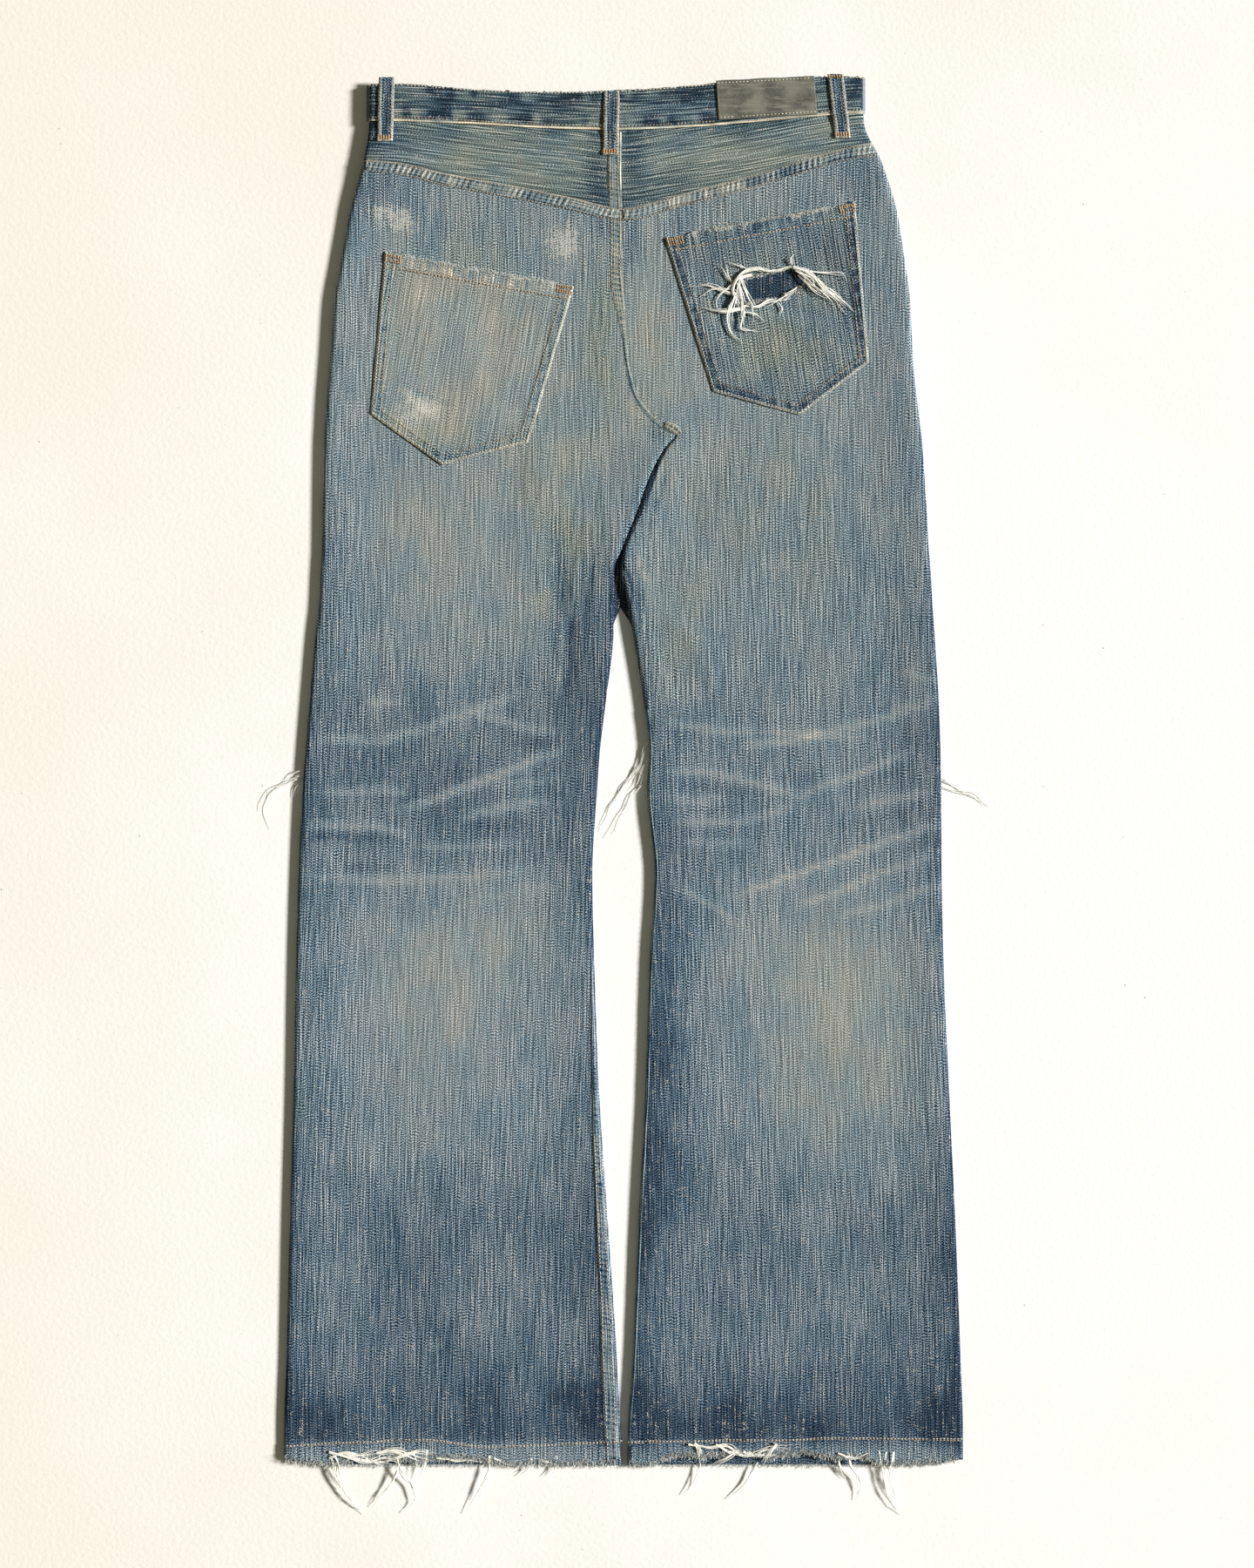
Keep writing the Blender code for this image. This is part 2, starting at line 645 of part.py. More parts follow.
def add_pocket_right(finish):
    """The right pocket is torn through, so two of its rows part round the tear."""
    tear = POCKET_TEAR
    tip_share = 0.55
    columns = [0.0, 0.18, 0.33, 0.44, tip_share, 0.66, 0.76, 0.88, 1.0]
    rows = [0.0, 0.15, 0.34, 0.42, 0.58, 0.79, 1.0]
    grid = pocket_grid(POCKET_RIGHT, tip_share, rows, columns)
    missing = []
    for column in range(len(columns)):
        for row, face in ((2, -1), (3, 1)):
            x, _ = grid[row][column]
            share = min(1.0, abs(x - tear.x) / tear.half_length)
            half = TEAR_END + (tear.half_height - TEAR_END) * math.sqrt(1 - share**2)
            grid[row][column] = (x, tear.drop + tear.slope * (x - tear.x) + face * half)
        if abs(grid[2][column][0] - tear.x) <= tear.half_length + 2:
            missing.append((2, column))
    add_laid_piece("back_pocket_right", grid, POCKET_THICKNESS, finish, missing[:-1])


def add_patch(finish):
    grid = [
        [
            between(
                between(PATCH.top_left, PATCH.top_right, u),
                between(PATCH.bottom_left, PATCH.bottom_right, u),
                v,
            )
            for u in spread(0.0, 1.0, 5)
        ]
        for v in spread(0.0, 1.0, 3)
    ]
    lower = [[(x, drop, BAND_TOP + LAID_GAP) for x, drop in row] for row in grid]
    upper = [[(x, drop, z + PATCH_THICKNESS) for x, drop, z in row] for row in lower]
    add_cloth("waist_patch", upper, lower, finish)


def add_belt_loop(loop, finish):
    """A strip that is tacked down at its two ends and stands off a little between them."""
    near, far = [], []
    start = loop.drop + (0.0 if loop.on_back else front_dip(loop.x))
    for share in (0.0, 0.12, 0.3, 0.5, 0.66, 0.8, 0.9, 1.0):
        x, drop = loop.x + loop.lean * share, start + LOOP_LENGTH * share
        stand = LAID_GAP + LOOP_ARCH * math.sin(math.pi * share)
        if loop.on_back:
            low = max(back_surface(x, drop - 4), back_surface(x, drop)) + stand
            high = low + LOOP_THICKNESS
        else:
            low = min(BAND_BOTTOM, front_height(drop)) - stand
            high = low - LOOP_THICKNESS
        half = LOOP_WIDTH / 2
        near.append([(x - half, drop, low), (x + half, drop, low)])
        far.append([(x - half, drop, high), (x + half, drop, high)])
    add_cloth(loop.name, far, near, finish)


# ------------------------------------------------------------------ the garment

for old in list(bpy.data.objects):
    bpy.data.objects.remove(old)

worn = denim("denim", DENIM)
pale = denim("denim_pale", DENIM_PALE)
dark = denim("denim_dark", DENIM_DARK)

for leg in (LEFT, RIGHT):
    add_back_leg(leg, worn)
    add_front_leg(leg, worn)
    add_facing(leg, dark)
    add_yoke(leg, pale)

add_waistband(pale)
add_button(denim("brass", BRASS, roughness=0.45, metallic=1.0))
add_pocket_left(worn)
add_pocket_right(worn)
add_patch(denim("suede", SUEDE, roughness=0.85))
for belt_loop in BELT_LOOPS:
    add_belt_loop(belt_loop, pale)
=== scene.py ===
"""Ripped jeans, laid flat with the back up: the looks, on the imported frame.

Places on the garment are (x, drop, height) in millimetres: x to the right as it lies, drop down from the
highest point of the waist, height above the surface.  Meshes are in metres, with +Y towards the waist.
"""

import json
import math

import bmesh
import bpy
import numpy as np
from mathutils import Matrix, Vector
from mathutils.bvhtree import BVHTree

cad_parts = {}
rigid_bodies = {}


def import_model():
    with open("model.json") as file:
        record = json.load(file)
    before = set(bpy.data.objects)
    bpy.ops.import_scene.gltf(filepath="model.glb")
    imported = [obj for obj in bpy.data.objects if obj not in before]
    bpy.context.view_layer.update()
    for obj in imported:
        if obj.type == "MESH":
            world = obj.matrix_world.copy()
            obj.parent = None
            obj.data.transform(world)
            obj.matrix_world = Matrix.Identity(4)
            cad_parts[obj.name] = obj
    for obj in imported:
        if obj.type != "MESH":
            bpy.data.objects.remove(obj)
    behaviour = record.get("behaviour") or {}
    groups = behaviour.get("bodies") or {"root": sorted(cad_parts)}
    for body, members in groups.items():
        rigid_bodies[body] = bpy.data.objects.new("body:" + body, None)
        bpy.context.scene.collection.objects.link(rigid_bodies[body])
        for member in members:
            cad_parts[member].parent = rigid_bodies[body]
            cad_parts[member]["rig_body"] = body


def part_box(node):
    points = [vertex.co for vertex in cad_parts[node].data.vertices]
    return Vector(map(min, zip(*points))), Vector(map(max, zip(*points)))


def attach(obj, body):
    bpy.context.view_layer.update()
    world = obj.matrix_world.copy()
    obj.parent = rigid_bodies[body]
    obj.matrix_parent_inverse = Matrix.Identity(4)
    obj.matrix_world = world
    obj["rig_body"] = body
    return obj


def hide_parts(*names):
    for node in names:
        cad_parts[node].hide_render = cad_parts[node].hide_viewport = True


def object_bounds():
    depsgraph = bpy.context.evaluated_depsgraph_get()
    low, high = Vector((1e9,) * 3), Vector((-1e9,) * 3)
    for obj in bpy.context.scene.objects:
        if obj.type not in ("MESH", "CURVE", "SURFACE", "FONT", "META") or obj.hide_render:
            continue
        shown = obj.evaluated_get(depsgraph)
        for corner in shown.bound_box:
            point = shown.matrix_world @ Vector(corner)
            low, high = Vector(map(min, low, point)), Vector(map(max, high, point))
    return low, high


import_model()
cad_low, cad_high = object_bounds()
scene = bpy.context.scene

# ------------------------------------------------------------------ camera, floor and light
# The jeans lie on a pale plastered floor and are seen from straight above.  A low soft light from the
# right gives the long shadows on their left, and the pale room fills them.

CAMERA_X, CAMERA_Y, CAMERA_HEIGHT = 0.0028, -0.0105, 2.6
SEEN_HEIGHT = 1.26  # metres of floor from the top to the bottom of the view

camera = bpy.data.objects.new("camera", bpy.data.cameras.new("camera"))
camera.data.sensor_fit = "VERTICAL"
camera.data.angle = 2 * math.atan(SEEN_HEIGHT / 2 / CAMERA_HEIGHT)
camera.location = (CAMERA_X, CAMERA_Y, CAMERA_HEIGHT)
scene.collection.objects.link(camera)
scene.camera = camera
scene.view_settings.view_transform = "Standard"


def node(tree, kind, inputs=None, **settings):
    """A node of a tree, with its settings, and its inputs as values or as the sockets that feed them."""
    made = tree.nodes.new(kind)
    for name, value in settings.items():
        setattr(made, name, value)
    for key, value in (inputs or {}).items():
        if isinstance(value, bpy.types.NodeSocket):
            tree.links.new(value, made.inputs[key])
        else:
            made.inputs[key].default_value = value
    return made


def calculate(tree, operation, *values):
    """A Math node's result."""
    return node(tree, "ShaderNodeMath", dict(enumerate(values)), operation=operation).outputs[0]


def remap(tree, value, start, end, low=0.0, high=1.0):
    """value, from start to end, as low to high with soft ends."""
    inputs = {"Value": value, 1: start, 2: end, 3: low, 4: high}
    return node(tree, "ShaderNodeMapRange", inputs, interpolation_type="SMOOTHSTEP").outputs[0]


def noise(tree, place, scale, detail):
    """A noise texture's value."""
    return node(tree, "ShaderNodeTexNoise", {"Vector": place, "Scale": scale, "Detail": detail}).outputs[0]


def varied(tree, source, strength, base):
    """base, raised and lowered by a texture whose middle is 0.5."""
    return calculate(tree, "MULTIPLY_ADD", calculate(tree, "SUBTRACT", source, 0.5), strength, base)


def dress(tree, shader, colour, height, strength, distance):
    """Gives a shader its colour, and its relief from a height."""
    tree.links.new(colour, shader.inputs["Base Color"])
    bump = node(tree, "ShaderNodeBump", {"Height": height, "Strength": strength, "Distance": distance})
    tree.links.new(bump.outputs[0], shader.inputs["Normal"])


def new_material(name, roughness):
    """A new material, its tree and its shader."""
    material = bpy.data.materials.new(name)
    material.use_nodes = True
    shader = material.node_tree.nodes["Principled BSDF"]
    shader.inputs["Roughness"].default_value = roughness
    return material, material.node_tree, shader


def colour_mix(tree, share, first, second, blend="MIX"):
    """A Mix node's colour, each colour given as three values or as a socket."""
    made = tree.nodes.new("ShaderNodeMix")
    made.data_type, made.blend_type = "RGBA", blend
    for socket, value in zip((made.inputs[0], made.inputs[6], made.inputs[7]), (share, first, second)):
        if isinstance(value, bpy.types.NodeSocket):
            tree.links.new(value, socket)
        else:
            socket.default_value = value if isinstance(value, float) else (*value, 1.0)
    return made.outputs[2]


def make_plaster():
    """Pale plaster: faint warm clouding, a painted pool of light that whitens it on the right, and a few
    specks of grit.
    """
    material, tree, shader = new_material("plaster", 0.9)
    place = node(tree, "ShaderNodeTexCoord").outputs["Object"]
    cloud = noise(tree, place, 5.0, 4.0)
    fine = noise(tree, place, 420.0, 2.0)
    # painted light: whitest on the right below the middle, creamier and a little darker with distance from
    # there
    window = {0: place, 1: (0.42, -0.12, 0.0)}
    away = node(tree, "ShaderNodeVectorMath", window, operation="DISTANCE").outputs["Value"]
    cream = varied(tree, cloud, 0.9, away)
    tone = colour_mix(tree, remap(tree, cream, 0.35, 1.15), (0.90, 0.90, 0.90), (0.845, 0.805, 0.735))
    tone = colour_mix(tree, remap(tree, fine, 0.52, 0.75, 0.0, 0.16), tone, (0.62, 0.57, 0.50))
    rare = noise(tree, place, 9.0, 3.0)
    for scale, radius, strength in ((62.0, 0.052, 0.75), (150.0, 0.075, 0.4)):
        grit = node(tree, "ShaderNodeTexVoronoi", {"Vector": place, "Scale": scale}).outputs
        chosen = node(tree, "ShaderNodeSeparateColor", {0: grit["Color"]}).outputs[0]
        chosen = remap(tree, chosen, 0.7, 0.9)
        speck = remap(tree, grit["Distance"], radius, 0.6 * radius, 0.0, strength)
        speck = calculate(tree, "MULTIPLY", speck, chosen)
        speck = calculate(tree, "MULTIPLY", speck, remap(tree, rare, 0.4, 0.55))
        tone = colour_mix(tree, speck, tone, (0.30, 0.27, 0.22))
    grain = noise(tree, place, 260.0, 5.0)
    dress(tree, shader, tone, grain, 0.35, 0.0006)
    return material


FLOOR_HALF = 4  # metres
FLOOR_GAP = 0.0003  # keeps the floor clear of the cloth that lies on it
floor_mesh = bpy.data.meshes.new("floor")
floor_corners = [(a * FLOOR_HALF, b * FLOOR_HALF, 0) for a, b in ((-1, -1), (1, -1), (1, 1), (-1, 1))]
floor_mesh.from_pydata(floor_corners, [], [(0, 1, 2, 3)])
floor_mesh.materials.append(make_plaster())
floor = bpy.data.objects.new("floor", floor_mesh)
floor.location.z = -FLOOR_GAP
scene.collection.objects.link(floor)

SUN_ELEVATION, SUN_AZIMUTH = 30.0, 8.0  # degrees, the azimuth from the right towards the waist
sun = bpy.data.objects.new("window", bpy.data.lights.new("window", "SUN"))
sun.data.energy = 6.3
sun.data.angle = math.radians(9)
sun.data.color = (1.0, 0.985, 0.96)
sun.rotation_euler = (0, math.radians(90 - SUN_ELEVATION), math.radians(SUN_AZIMUTH))
scene.collection.objects.link(sun)

room = bpy.data.worlds.new("room")
room.use_nodes = True
room.node_tree.nodes["Background"].inputs["Color"].default_value = (0.145, 0.142, 0.105, 1.0)
scene.world = room

# ------------------------------------------------------------------ back panels of the legs
# Worn blue denim, one layer, cut with its warp down the leg.  The panel reaches from the side seam, at the
# outer folded edge, to the seat seam above the fork and to the inner leg seam below it.

MM = 0.001
LENGTH = (cad_high.y - cad_low.y) / MM
CLOTH = 1.1  # thickness of one layer
FOLD_RADIUS = 4.0
QUARTER = FOLD_RADIUS * math.pi / 2  # arc length from the outermost line of a fold to the flat
EDGE_REACH = 45.0  # how far in from an edge the cloth is still held up by it
BAND_BOTTOM, BAND_TOP = 3.0, 10.5
SEAM_STEP = 0.12  # half the gap between two panels at a seam

# drop, then x of the outer and inner edges of the left leg and of the inner and outer edges of the right
# one, and how thick the laid garment is at its folded edges and between them
LEVELS = np.array(
    [
        (0, -204, 0, 0, 191, 6.6, 6.6),
        (38, -204, -1, -1, 193, 6.6, 6.6),
        (69, -209, -2, -2, 207, 6.8, 6.5),
        (111, -220, 0, 0, 220, 8, 6.4),
        (150, -227, -1, -1, 226, 8.2, 6.4),
        (178, -232, -1, -1, 230, 8.1, 6.4),
        (220, -235, 2, 2, 232, 8, 6.2),
        (255, -238, 9, 9, 235, 7.8, 5.9),
        (270, -239, 18, 18, 237, 7.7, 5.8),
        (279, -239.5, 29, 29, 238, 7.6, 5.7),
        (286, -240, 43, 43.4, 239, 7.6, 5.6),
        (297, -240.5, 34, 34.5, 240, 7.5, 5.5),
        (319, -241, 22, 22.5, 241.5, 7.4, 5.4),
        (349, -241.5, 11, 11.6, 243.5, 7.3, 5.2),
        (379, -242, -1, 0, 245, 7.2, 5),
        (395, -243, -8, -2, 246.5, 7.2, 5),
        (423, -244.5, -9, 3.5, 248, 7.1, 4.9),
        (444, -247, -8, 7, 249.5, 7, 4.9),
        (500, -252, -14, 16, 253, 6.8, 4.8),
        (542, -255.5, -19, 20.5, 254.5, 6.7, 4.7),
        (570, -257.5, -21, 19, 255, 6.6, 4.7),
        (640, -261, -25, 25, 255.5, 6.4, 4.6),
        (710, -263, -23.5, 21, 257, 6.3, 4.5),
        (815, -265, -19.5, 17.5, 261.5, 6.1, 4.4),
        (920, -268, -12.5, 12, 266.5, 6, 4.4),
        (1025, -270.5, -5.5, 7.5, 270.5, 5.8, 4.4),
        (1088, -272.5, -2.5, 3.5, 272.5, 5.7, 4.5),
        (1114, -272, -1.5, 3, 272.5, 5.6, 4.6),
    ]
)
EDGE_THICK, MIDDLE_THICK = 5, 6  # columns of the table
SIDES = {"left": {"out": 1, "in": 2, "inward": 1.0}, "right": {"out": 4, "in": 3, "inward": -1.0}}

# x, and drop there of the top of the waistband, of its seam and of the yoke seam
WAIST_LINES = np.array(
    [
        (-211, 8, 36.5, 67), (-180, 7, 36.7, 70), (-140, 10, 38.3, 79), (-90, 13, 41, 88),
        (-45, 13.5, 43, 97), (0, 12, 43.7, 106), (45, 9, 42, 95), (100, 4.5, 38, 81), (150, 1.5, 33.3, 66),
        (180, 1, 31, 58), (209, 3.5, 30, 53),
    ]
)
BAND_LINE, BAND_SEAM, YOKE_SEAM = 1, 2, 3

# Creases that wear has set, as x and drop of both ends, how far the middle is bowed down, half width,
# height, and how much paler its crest is; where that is negative, its darker trough is partly unfaded blue
# and partly painted shade.
CREASES = [
    (-245, 531, -178, 531, 1, 6, 0.5, 0.12),  # behind the left knee
    (-190, 532, -82, 494, 1, 6, 0.6, 0.14),
    (-130, 505, -52, 527, 3, 6, 0.5, 0.12),
    (-206, 503, -176, 501, 0, 6, 0.4, 0.12),
    (-184, 590, -50, 540, 1, 6, 0.8, 0.2),
    (-132, 595, -62, 581, -2, 6, 0.6, 0.15),
    (-106, 569, -48, 563, 0, 6, 0.4, 0.08),
    (-248, 574, -172, 574, -1, 6, 0.6, 0.12),
    (-256, 601, -172, 609, -4, 6, 0.8, 0.15),
    (-172, 617, -80, 614, 2, 6, 0.5, 0.11),
    (-255, 642, -66, 634, 6, 6, 0.6, 0.12),
    (-142, 667, -52, 648, 0, 7, 0.4, 0.07),
    (-254, 611, -190, 612, -1, 7, -0.6, -0.14),
    (-228, 635, -184, 636, 0, 7, -0.5, -0.13),
    (-130, 603, -70, 600, 0, 9, -0.5, -0.08),
    (-92, 532, -56, 538, 0, 9, -0.5, -0.08),
    (-180, 583, -150, 579, 0, 9, -0.5, -0.08),
    (-220, 640, -60, 648, 5, 12, 0.4, 0.03),
    (-42, 432, -47, 500, -2, 4, -1.5, -0.24),  # the furrows beside the left inner thigh
    (-26, 388, -31, 424, -1, 3.5, -1.1, -0.16),
    (-58, 352, -42, 430, 3, 12, -0.8, -0.1),
    (-24, 392, -22, 480, -5, 8, 1.1, 0.02),
    (-70, 300, -60, 420, -4, 18, 0.7, 0),
    (-14, 330, -4, 392, 0, 7, 0.8, 0.04),
    (28.5, 309, 18.5, 341, 0, 2.2, -1.8, -0.62),  # the gap that opens below the fork, darkened deep: unfaded blue and painted shadow in its trough
    (18.5, 336, 3.5, 376, 0, 1.4, -0.9, -0.36),
    (40, 292, 20, 352, 2, 1.8, 0.7, 0.14),  # the folds beside it
    (35, 298, 17, 350, 2, 1.7, -0.7, -0.3),
    (44, 300, 24, 356, 2, 2.2, -0.6, -0.22),
    (5, 370, 27, 440, -2, 3.6, 1.1, 0.18),
    (-4, 384, 12, 430, -3, 3.2, -0.8, -0.26),
    (-36, 384, -42, 440, 0, 3.4, 0.9, 0.12),
    (94, 538, 160, 527, 1, 6, 0.7, 0.18),  # behind the right knee
    (150, 530, 252, 498, 2, 6, 0.6, 0.14),
    (32, 517, 104, 525, 3, 6, 0.5, 0.12),
    (98, 524, 196, 531, 0, 6, 0.5, 0.11),
    (32, 559, 140, 579, -7, 6, 0.7, 0.15),
    (136, 580, 232, 540, 0, 6, 0.7, 0.16),
    (42, 597, 140, 583, 7, 6, 0.6, 0.13),
    (184, 587, 246, 573, 0, 6, 0.6, 0.13),
    (80, 661, 256, 597, 0, 6, 0.9, 0.19),
    (132, 668, 256, 619, 1, 6, 0.7, 0.14),
    (170, 675, 256, 649, 0, 7, 0.6, 0.12),
    (42, 650, 90, 680, -2, 6, 0.5, 0.12),
    (44, 615, 104, 615, 0, 6, 0.4, 0.09),
    (36, 581, 84, 580, 0, 6, 0.4, 0.08),
    (224, 477, 252, 486, 0, 6, 0.4, 0.1),
    (118, 562, 152, 560, 0, 9, -0.5, -0.09),
    (40, 570, 98, 574, 0, 7, -0.5, -0.08),
    (168, 572, 226, 556, 0, 8, -0.5, -0.07),
    (150, 606, 236, 588, 0, 9, -0.5, -0.07),
    (24, 420, 80, 500, -8, 9, 1, 0.03),  # the fold that runs out of the fork down the right thigh
    (0, 398, 44, 492, -6, 8, -0.7, -0.08),
    (30, 300, 60, 372, -6, 10, -0.5, -0.05),
    (-205, 700, -60, 712, 4, 14, 0.3, 0),
    (70, 720, 230, 706, 5, 14, 0.3, 0),
    (-230, 1050, -200, 1096, 0, 9, 0.5, 0),  # puckers above the hems
    (-120, 1062, -104, 1098, 0, 9, 0.5, 0),
    (60, 1056, 76, 1100, 0, 10, 0.6, 0),
    (206, 1052, 214, 1098, 0, 10, 0.6, 0),
]

# Where wear and dirt have changed the blue, and once where painted shade darkens it: x, drop, reach across
# and down, how much paler, how soiled, how far worn to the white weft.
WEAR = [
    (-110, 150, 60, 46, -0.1, 0.6, 0),  # seat
    (110, 140, 60, 40, 0, 0.5, 0),
    (118, 168, 40, 26, -2, -0.2, 0),  # behind the torn pocket, never faded, and darkened further as painted shade inside the tear
    (-200, 92, 26, 26, -0.22, 0, 0),
    (196, 84, 24, 30, -0.22, 0, 0),
    (80, 90, 70, 26, -0.06, 0, 0),
    (-185, 111, 13, 9, 0.06, 0, 0.8),
    (-177, 120, 12, 9, 0.06, 0, 0.8),
    (-199, 109, 7, 2.5, 0, 0, 0.8),
    (-48, 128, 13, 10, 0.06, 0, 0.75),
    (-46, 140, 13, 12, 0.06, 0, 0.75),
    (-18, 215, 14, 60, -0.02, 1.3, 0),
    (14, 196, 14, 70, 0.16, 0.5, 0.1),
    (30, 225, 26, 44, 0.12, 0.3, 0),
    (6, 132, 8, 32, -0.34, -0.2, 0),
    (38, 119, 9, 12, -0.22, -0.1, 0),
    (-17, 119, 9, 12, -0.26, -0.1, 0),
    (-19, 186, 6, 26, -0.12, 0.9, 0),
    (28, 284, 8, 9, -0.4, -0.2, 0),
    (8, 267, 4, 4, 0.1, 1.2, 0),
    (-60, 300, 36, 60, 0.04, 0.6, 0),
    (-50, 390, 28, 50, -0.02, 0.9, 0),
    (-150, 360, 60, 60, 0.16, 0.2, 0),
    (-100, 440, 60, 34, 0.1, 0.1, 0),
    (110, 330, 60, 60, -0.03, 0.4, 0),
    (150, 380, 60, 60, -0.07, 0.3, 0),
    (40, 440, 30, 60, 0.04, 0.6, 0),
    (30, 310, 20, 40, 0.06, 0.5, 0),
    (-235, 400, 26, 90, -0.12, 0, 0),
    (-38, 450, 24, 70, -0.22, 0, 0),
    (-150, 560, 90, 60, -0.14, 0, 0),
    (-240, 760, 24, 90, -0.08, 0, 0),
    (-150, 980, 60, 70, -0.08, 0, 0),
    (200, 840, 60, 160, 0.06, 0.2, 0),
    (-235, 980, 26, 80, 0.08, 0, 0),
    (140, 1085, 130, 26, -0.07, 0, 0),
    (48, 980, 24, 80, 0.07, 0, 0),
    (-150, 500, 80, 30, -0.04, 0, 0),
    (-130, 640, 110, 30, -0.06, 0, 0),
    (-150, 740, 46, 90, 0.26, 0.25, 0),
    (-90, 690, 46, 40, 0.16, 0.3, 0),
    (-200, 720, 30, 60, 0.08, 0, 0),
    (170, 740, 48, 80, 0.32, 0.4, 0),
    (110, 700, 40, 30, 0.1, 0.2, 0),
    (145, 830, 44, 40, 0.12, 0.2, 0),
    (-160, 850, 60, 40, 0.06, 0.1, 0),
    (-110, 990, 40, 40, 0.08, 0.1, 0),
    (-230, 960, 30, 60, 0.06, 0, 0),
    (150, 980, 36, 60, 0.08, 0, 0),
    (70, 900, 20, 60, 0.08, 0, 0),
    (232, 780, 24, 90, 0.1, 0.1, 0),
    (34, 800, 26, 130, -0.1, 0, 0),
    (220, 900, 26, 80, -0.02, 0, 0),
    (-152, 1018, 4, 6, 0.25, 0, 0.5),
]
# drop and how pale the middle of the legs is there
PALENESS = np.array(
    [
        (0, 0.4), (110, 0.56), (200, 0.64), (330, 0.6), (420, 0.54), (520, 0.38), (600, 0.37), (650, 0.44),
        (740, 0.51), (850, 0.4), (930, 0.27), (1010, 0.27), (1062, 0.13), (1090, 0.1), (1102, 0.4),
        (1114, 0.62),
    ]
)


def smooth(value, start, end):
    """0 up to the start and 1 from the end, with soft ends."""
    share = np.clip((value - start) / (end - start), 0, 1)
    return share * share * (3 - 2 * share)


def curve(table, column, at):
    """A cubic through one column of a table that doesn't swing past its rows."""
    xs, ys, at = table[:, 0], table[:, column], np.clip(at, table[0, 0], table[-1, 0])
    slopes = np.diff(ys) / np.diff(xs)
    product = slopes[:-1] * slopes[1:]
    total = np.where(product > 0, slopes[:-1] + slopes[1:], 1.0)
    steady = np.where(product > 0, 2 * product / total, 0.0)
    tangents = np.concatenate([slopes[:1], steady, slopes[-1:]])
    k = np.clip(np.searchsorted(xs, at, side="right") - 1, 0, len(slopes) - 1)
    step = xs[k + 1] - xs[k]
    t = (at - xs[k]) / step
    rise = t * t * (3 - 2 * t)
    bend = tangents[k] * t * (1 - t) ** 2 - tangents[k + 1] * t * t * (1 - t)
    return ys[k] + (ys[k + 1] - ys[k]) * rise + step * bend


def hump(value, reach, power=2):
    """1 where the value is 0, fading to 0 over about that reach."""
    return np.exp(-((value / reach) ** power))


def unevenness(a, b, size_a, size_b, seed):
    """Soft random relief from -1 to 1, with features of that size."""
    grid = np.random.default_rng(seed).uniform(-1, 1, (97, 89))
    a, b = np.asarray(a) / size_a + 500, np.asarray(b) / size_b + 500
    i, j = np.floor(a).astype(int), np.floor(b).astype(int)
    s, t = a - i, b - j
    s, t = s * s * (3 - 2 * s), t * t * (3 - 2 * t)
    corner = [[grid[(i + m) % 97, (j + n) % 89] for n in (0, 1)] for m in (0, 1)]
    near = corner[0][0] * (1 - t) + corner[0][1] * t
    far = corner[1][0] * (1 - t) + corner[1][1] * t
    return near * (1 - s) + far * s


def tube_share(drop):
    """0 above the fork, where the inner edges are seams, and 1 below it, where they are folds."""
    return smooth(drop, 281, 300)


def front_height(drop):
    """The front's outer face: on the surface, and lifted where the belt loops are under it."""
    return BAND_BOTTOM * (1 - smooth(drop, 62, 125))


def crease_form(creases, x, drop):
    """Height and paleness that a set of creases gives: paler crests from wear, darker troughs partly as
    painted shade.
    """
    height, pale = np.zeros(np.shape(x)), np.zeros(np.shape(x))
    for x1, drop1, x2, drop2, bow, half_width, rise, paler in creases:
        along_x, along_drop = x2 - x1, drop2 - drop1
        length = math.hypot(along_x, along_drop)
        share = ((x - x1) * along_x + (drop - drop1) * along_drop) / length**2
        off = ((drop - drop1) * along_x - (x - x1) * along_drop) / length
        middle = np.clip(share, 0, 1)
        off = off - bow * 4 * middle * (1 - middle)
        # a crest wanders a little and fades out at its ends
        off = off + 1.1 * unevenness(share * length, drop1, 13, 1, int(abs(x1 * 7 + drop1)))
        fade_out = smooth(share, -0.08, 0.2) * (1 - smooth(share, 0.8, 1.08))
        height += rise * fade_out * hump(off, half_width)
        # crests paler from wear; troughs darker, partly unfaded blue and partly painted shade
        pale += (3.0 if paler > 0 else 1.35) * paler * fade_out * hump(off, 0.5 * half_width)
    return height, pale


def edge(side, which, drop):
    """x of a leg's outer or inner edge."""
    return curve(LEVELS, SIDES[side][which], drop)


def back_flat(side, x, drop):
    """The back's outer face away from the rounding of its edges."""
    from_out = abs(x - edge(side, "out", drop))
    from_in = abs(x - edge(side, "in", drop))
    held = 1 - smooth(from_out, 0, EDGE_REACH)
    held = np.minimum(1, held + tube_share(drop) * (1 - smooth(from_in, 0, EDGE_REACH)))
    relief = crease_form(CREASES, x, drop)[0] + 0.35 * unevenness(x, drop, 46, 70, 3)
    relief = relief + 0.12 * unevenness(x, drop, 17, 30, 4)
    middle = curve(LEVELS, MIDDLE_THICK, drop) + relief * smooth(drop, 60, 120)
    return front_height(drop) + curve(LEVELS, EDGE_THICK, drop) * held + middle * (1 - held)


def back_height(side, x, drop):
    """The same, with the rounding."""
    half = curve(LEVELS, EDGE_THICK, drop) / 2
    height = back_flat(side, x, drop)
    for which, share in (("out", 1.0), ("in", tube_share(drop))):
        inset = np.clip(abs(x - edge(side, which, drop)) / FOLD_RADIUS, 0, 1)
        height = height - share * half * (1 - np.sqrt(1 - (1 - inset) ** 2))
    return height


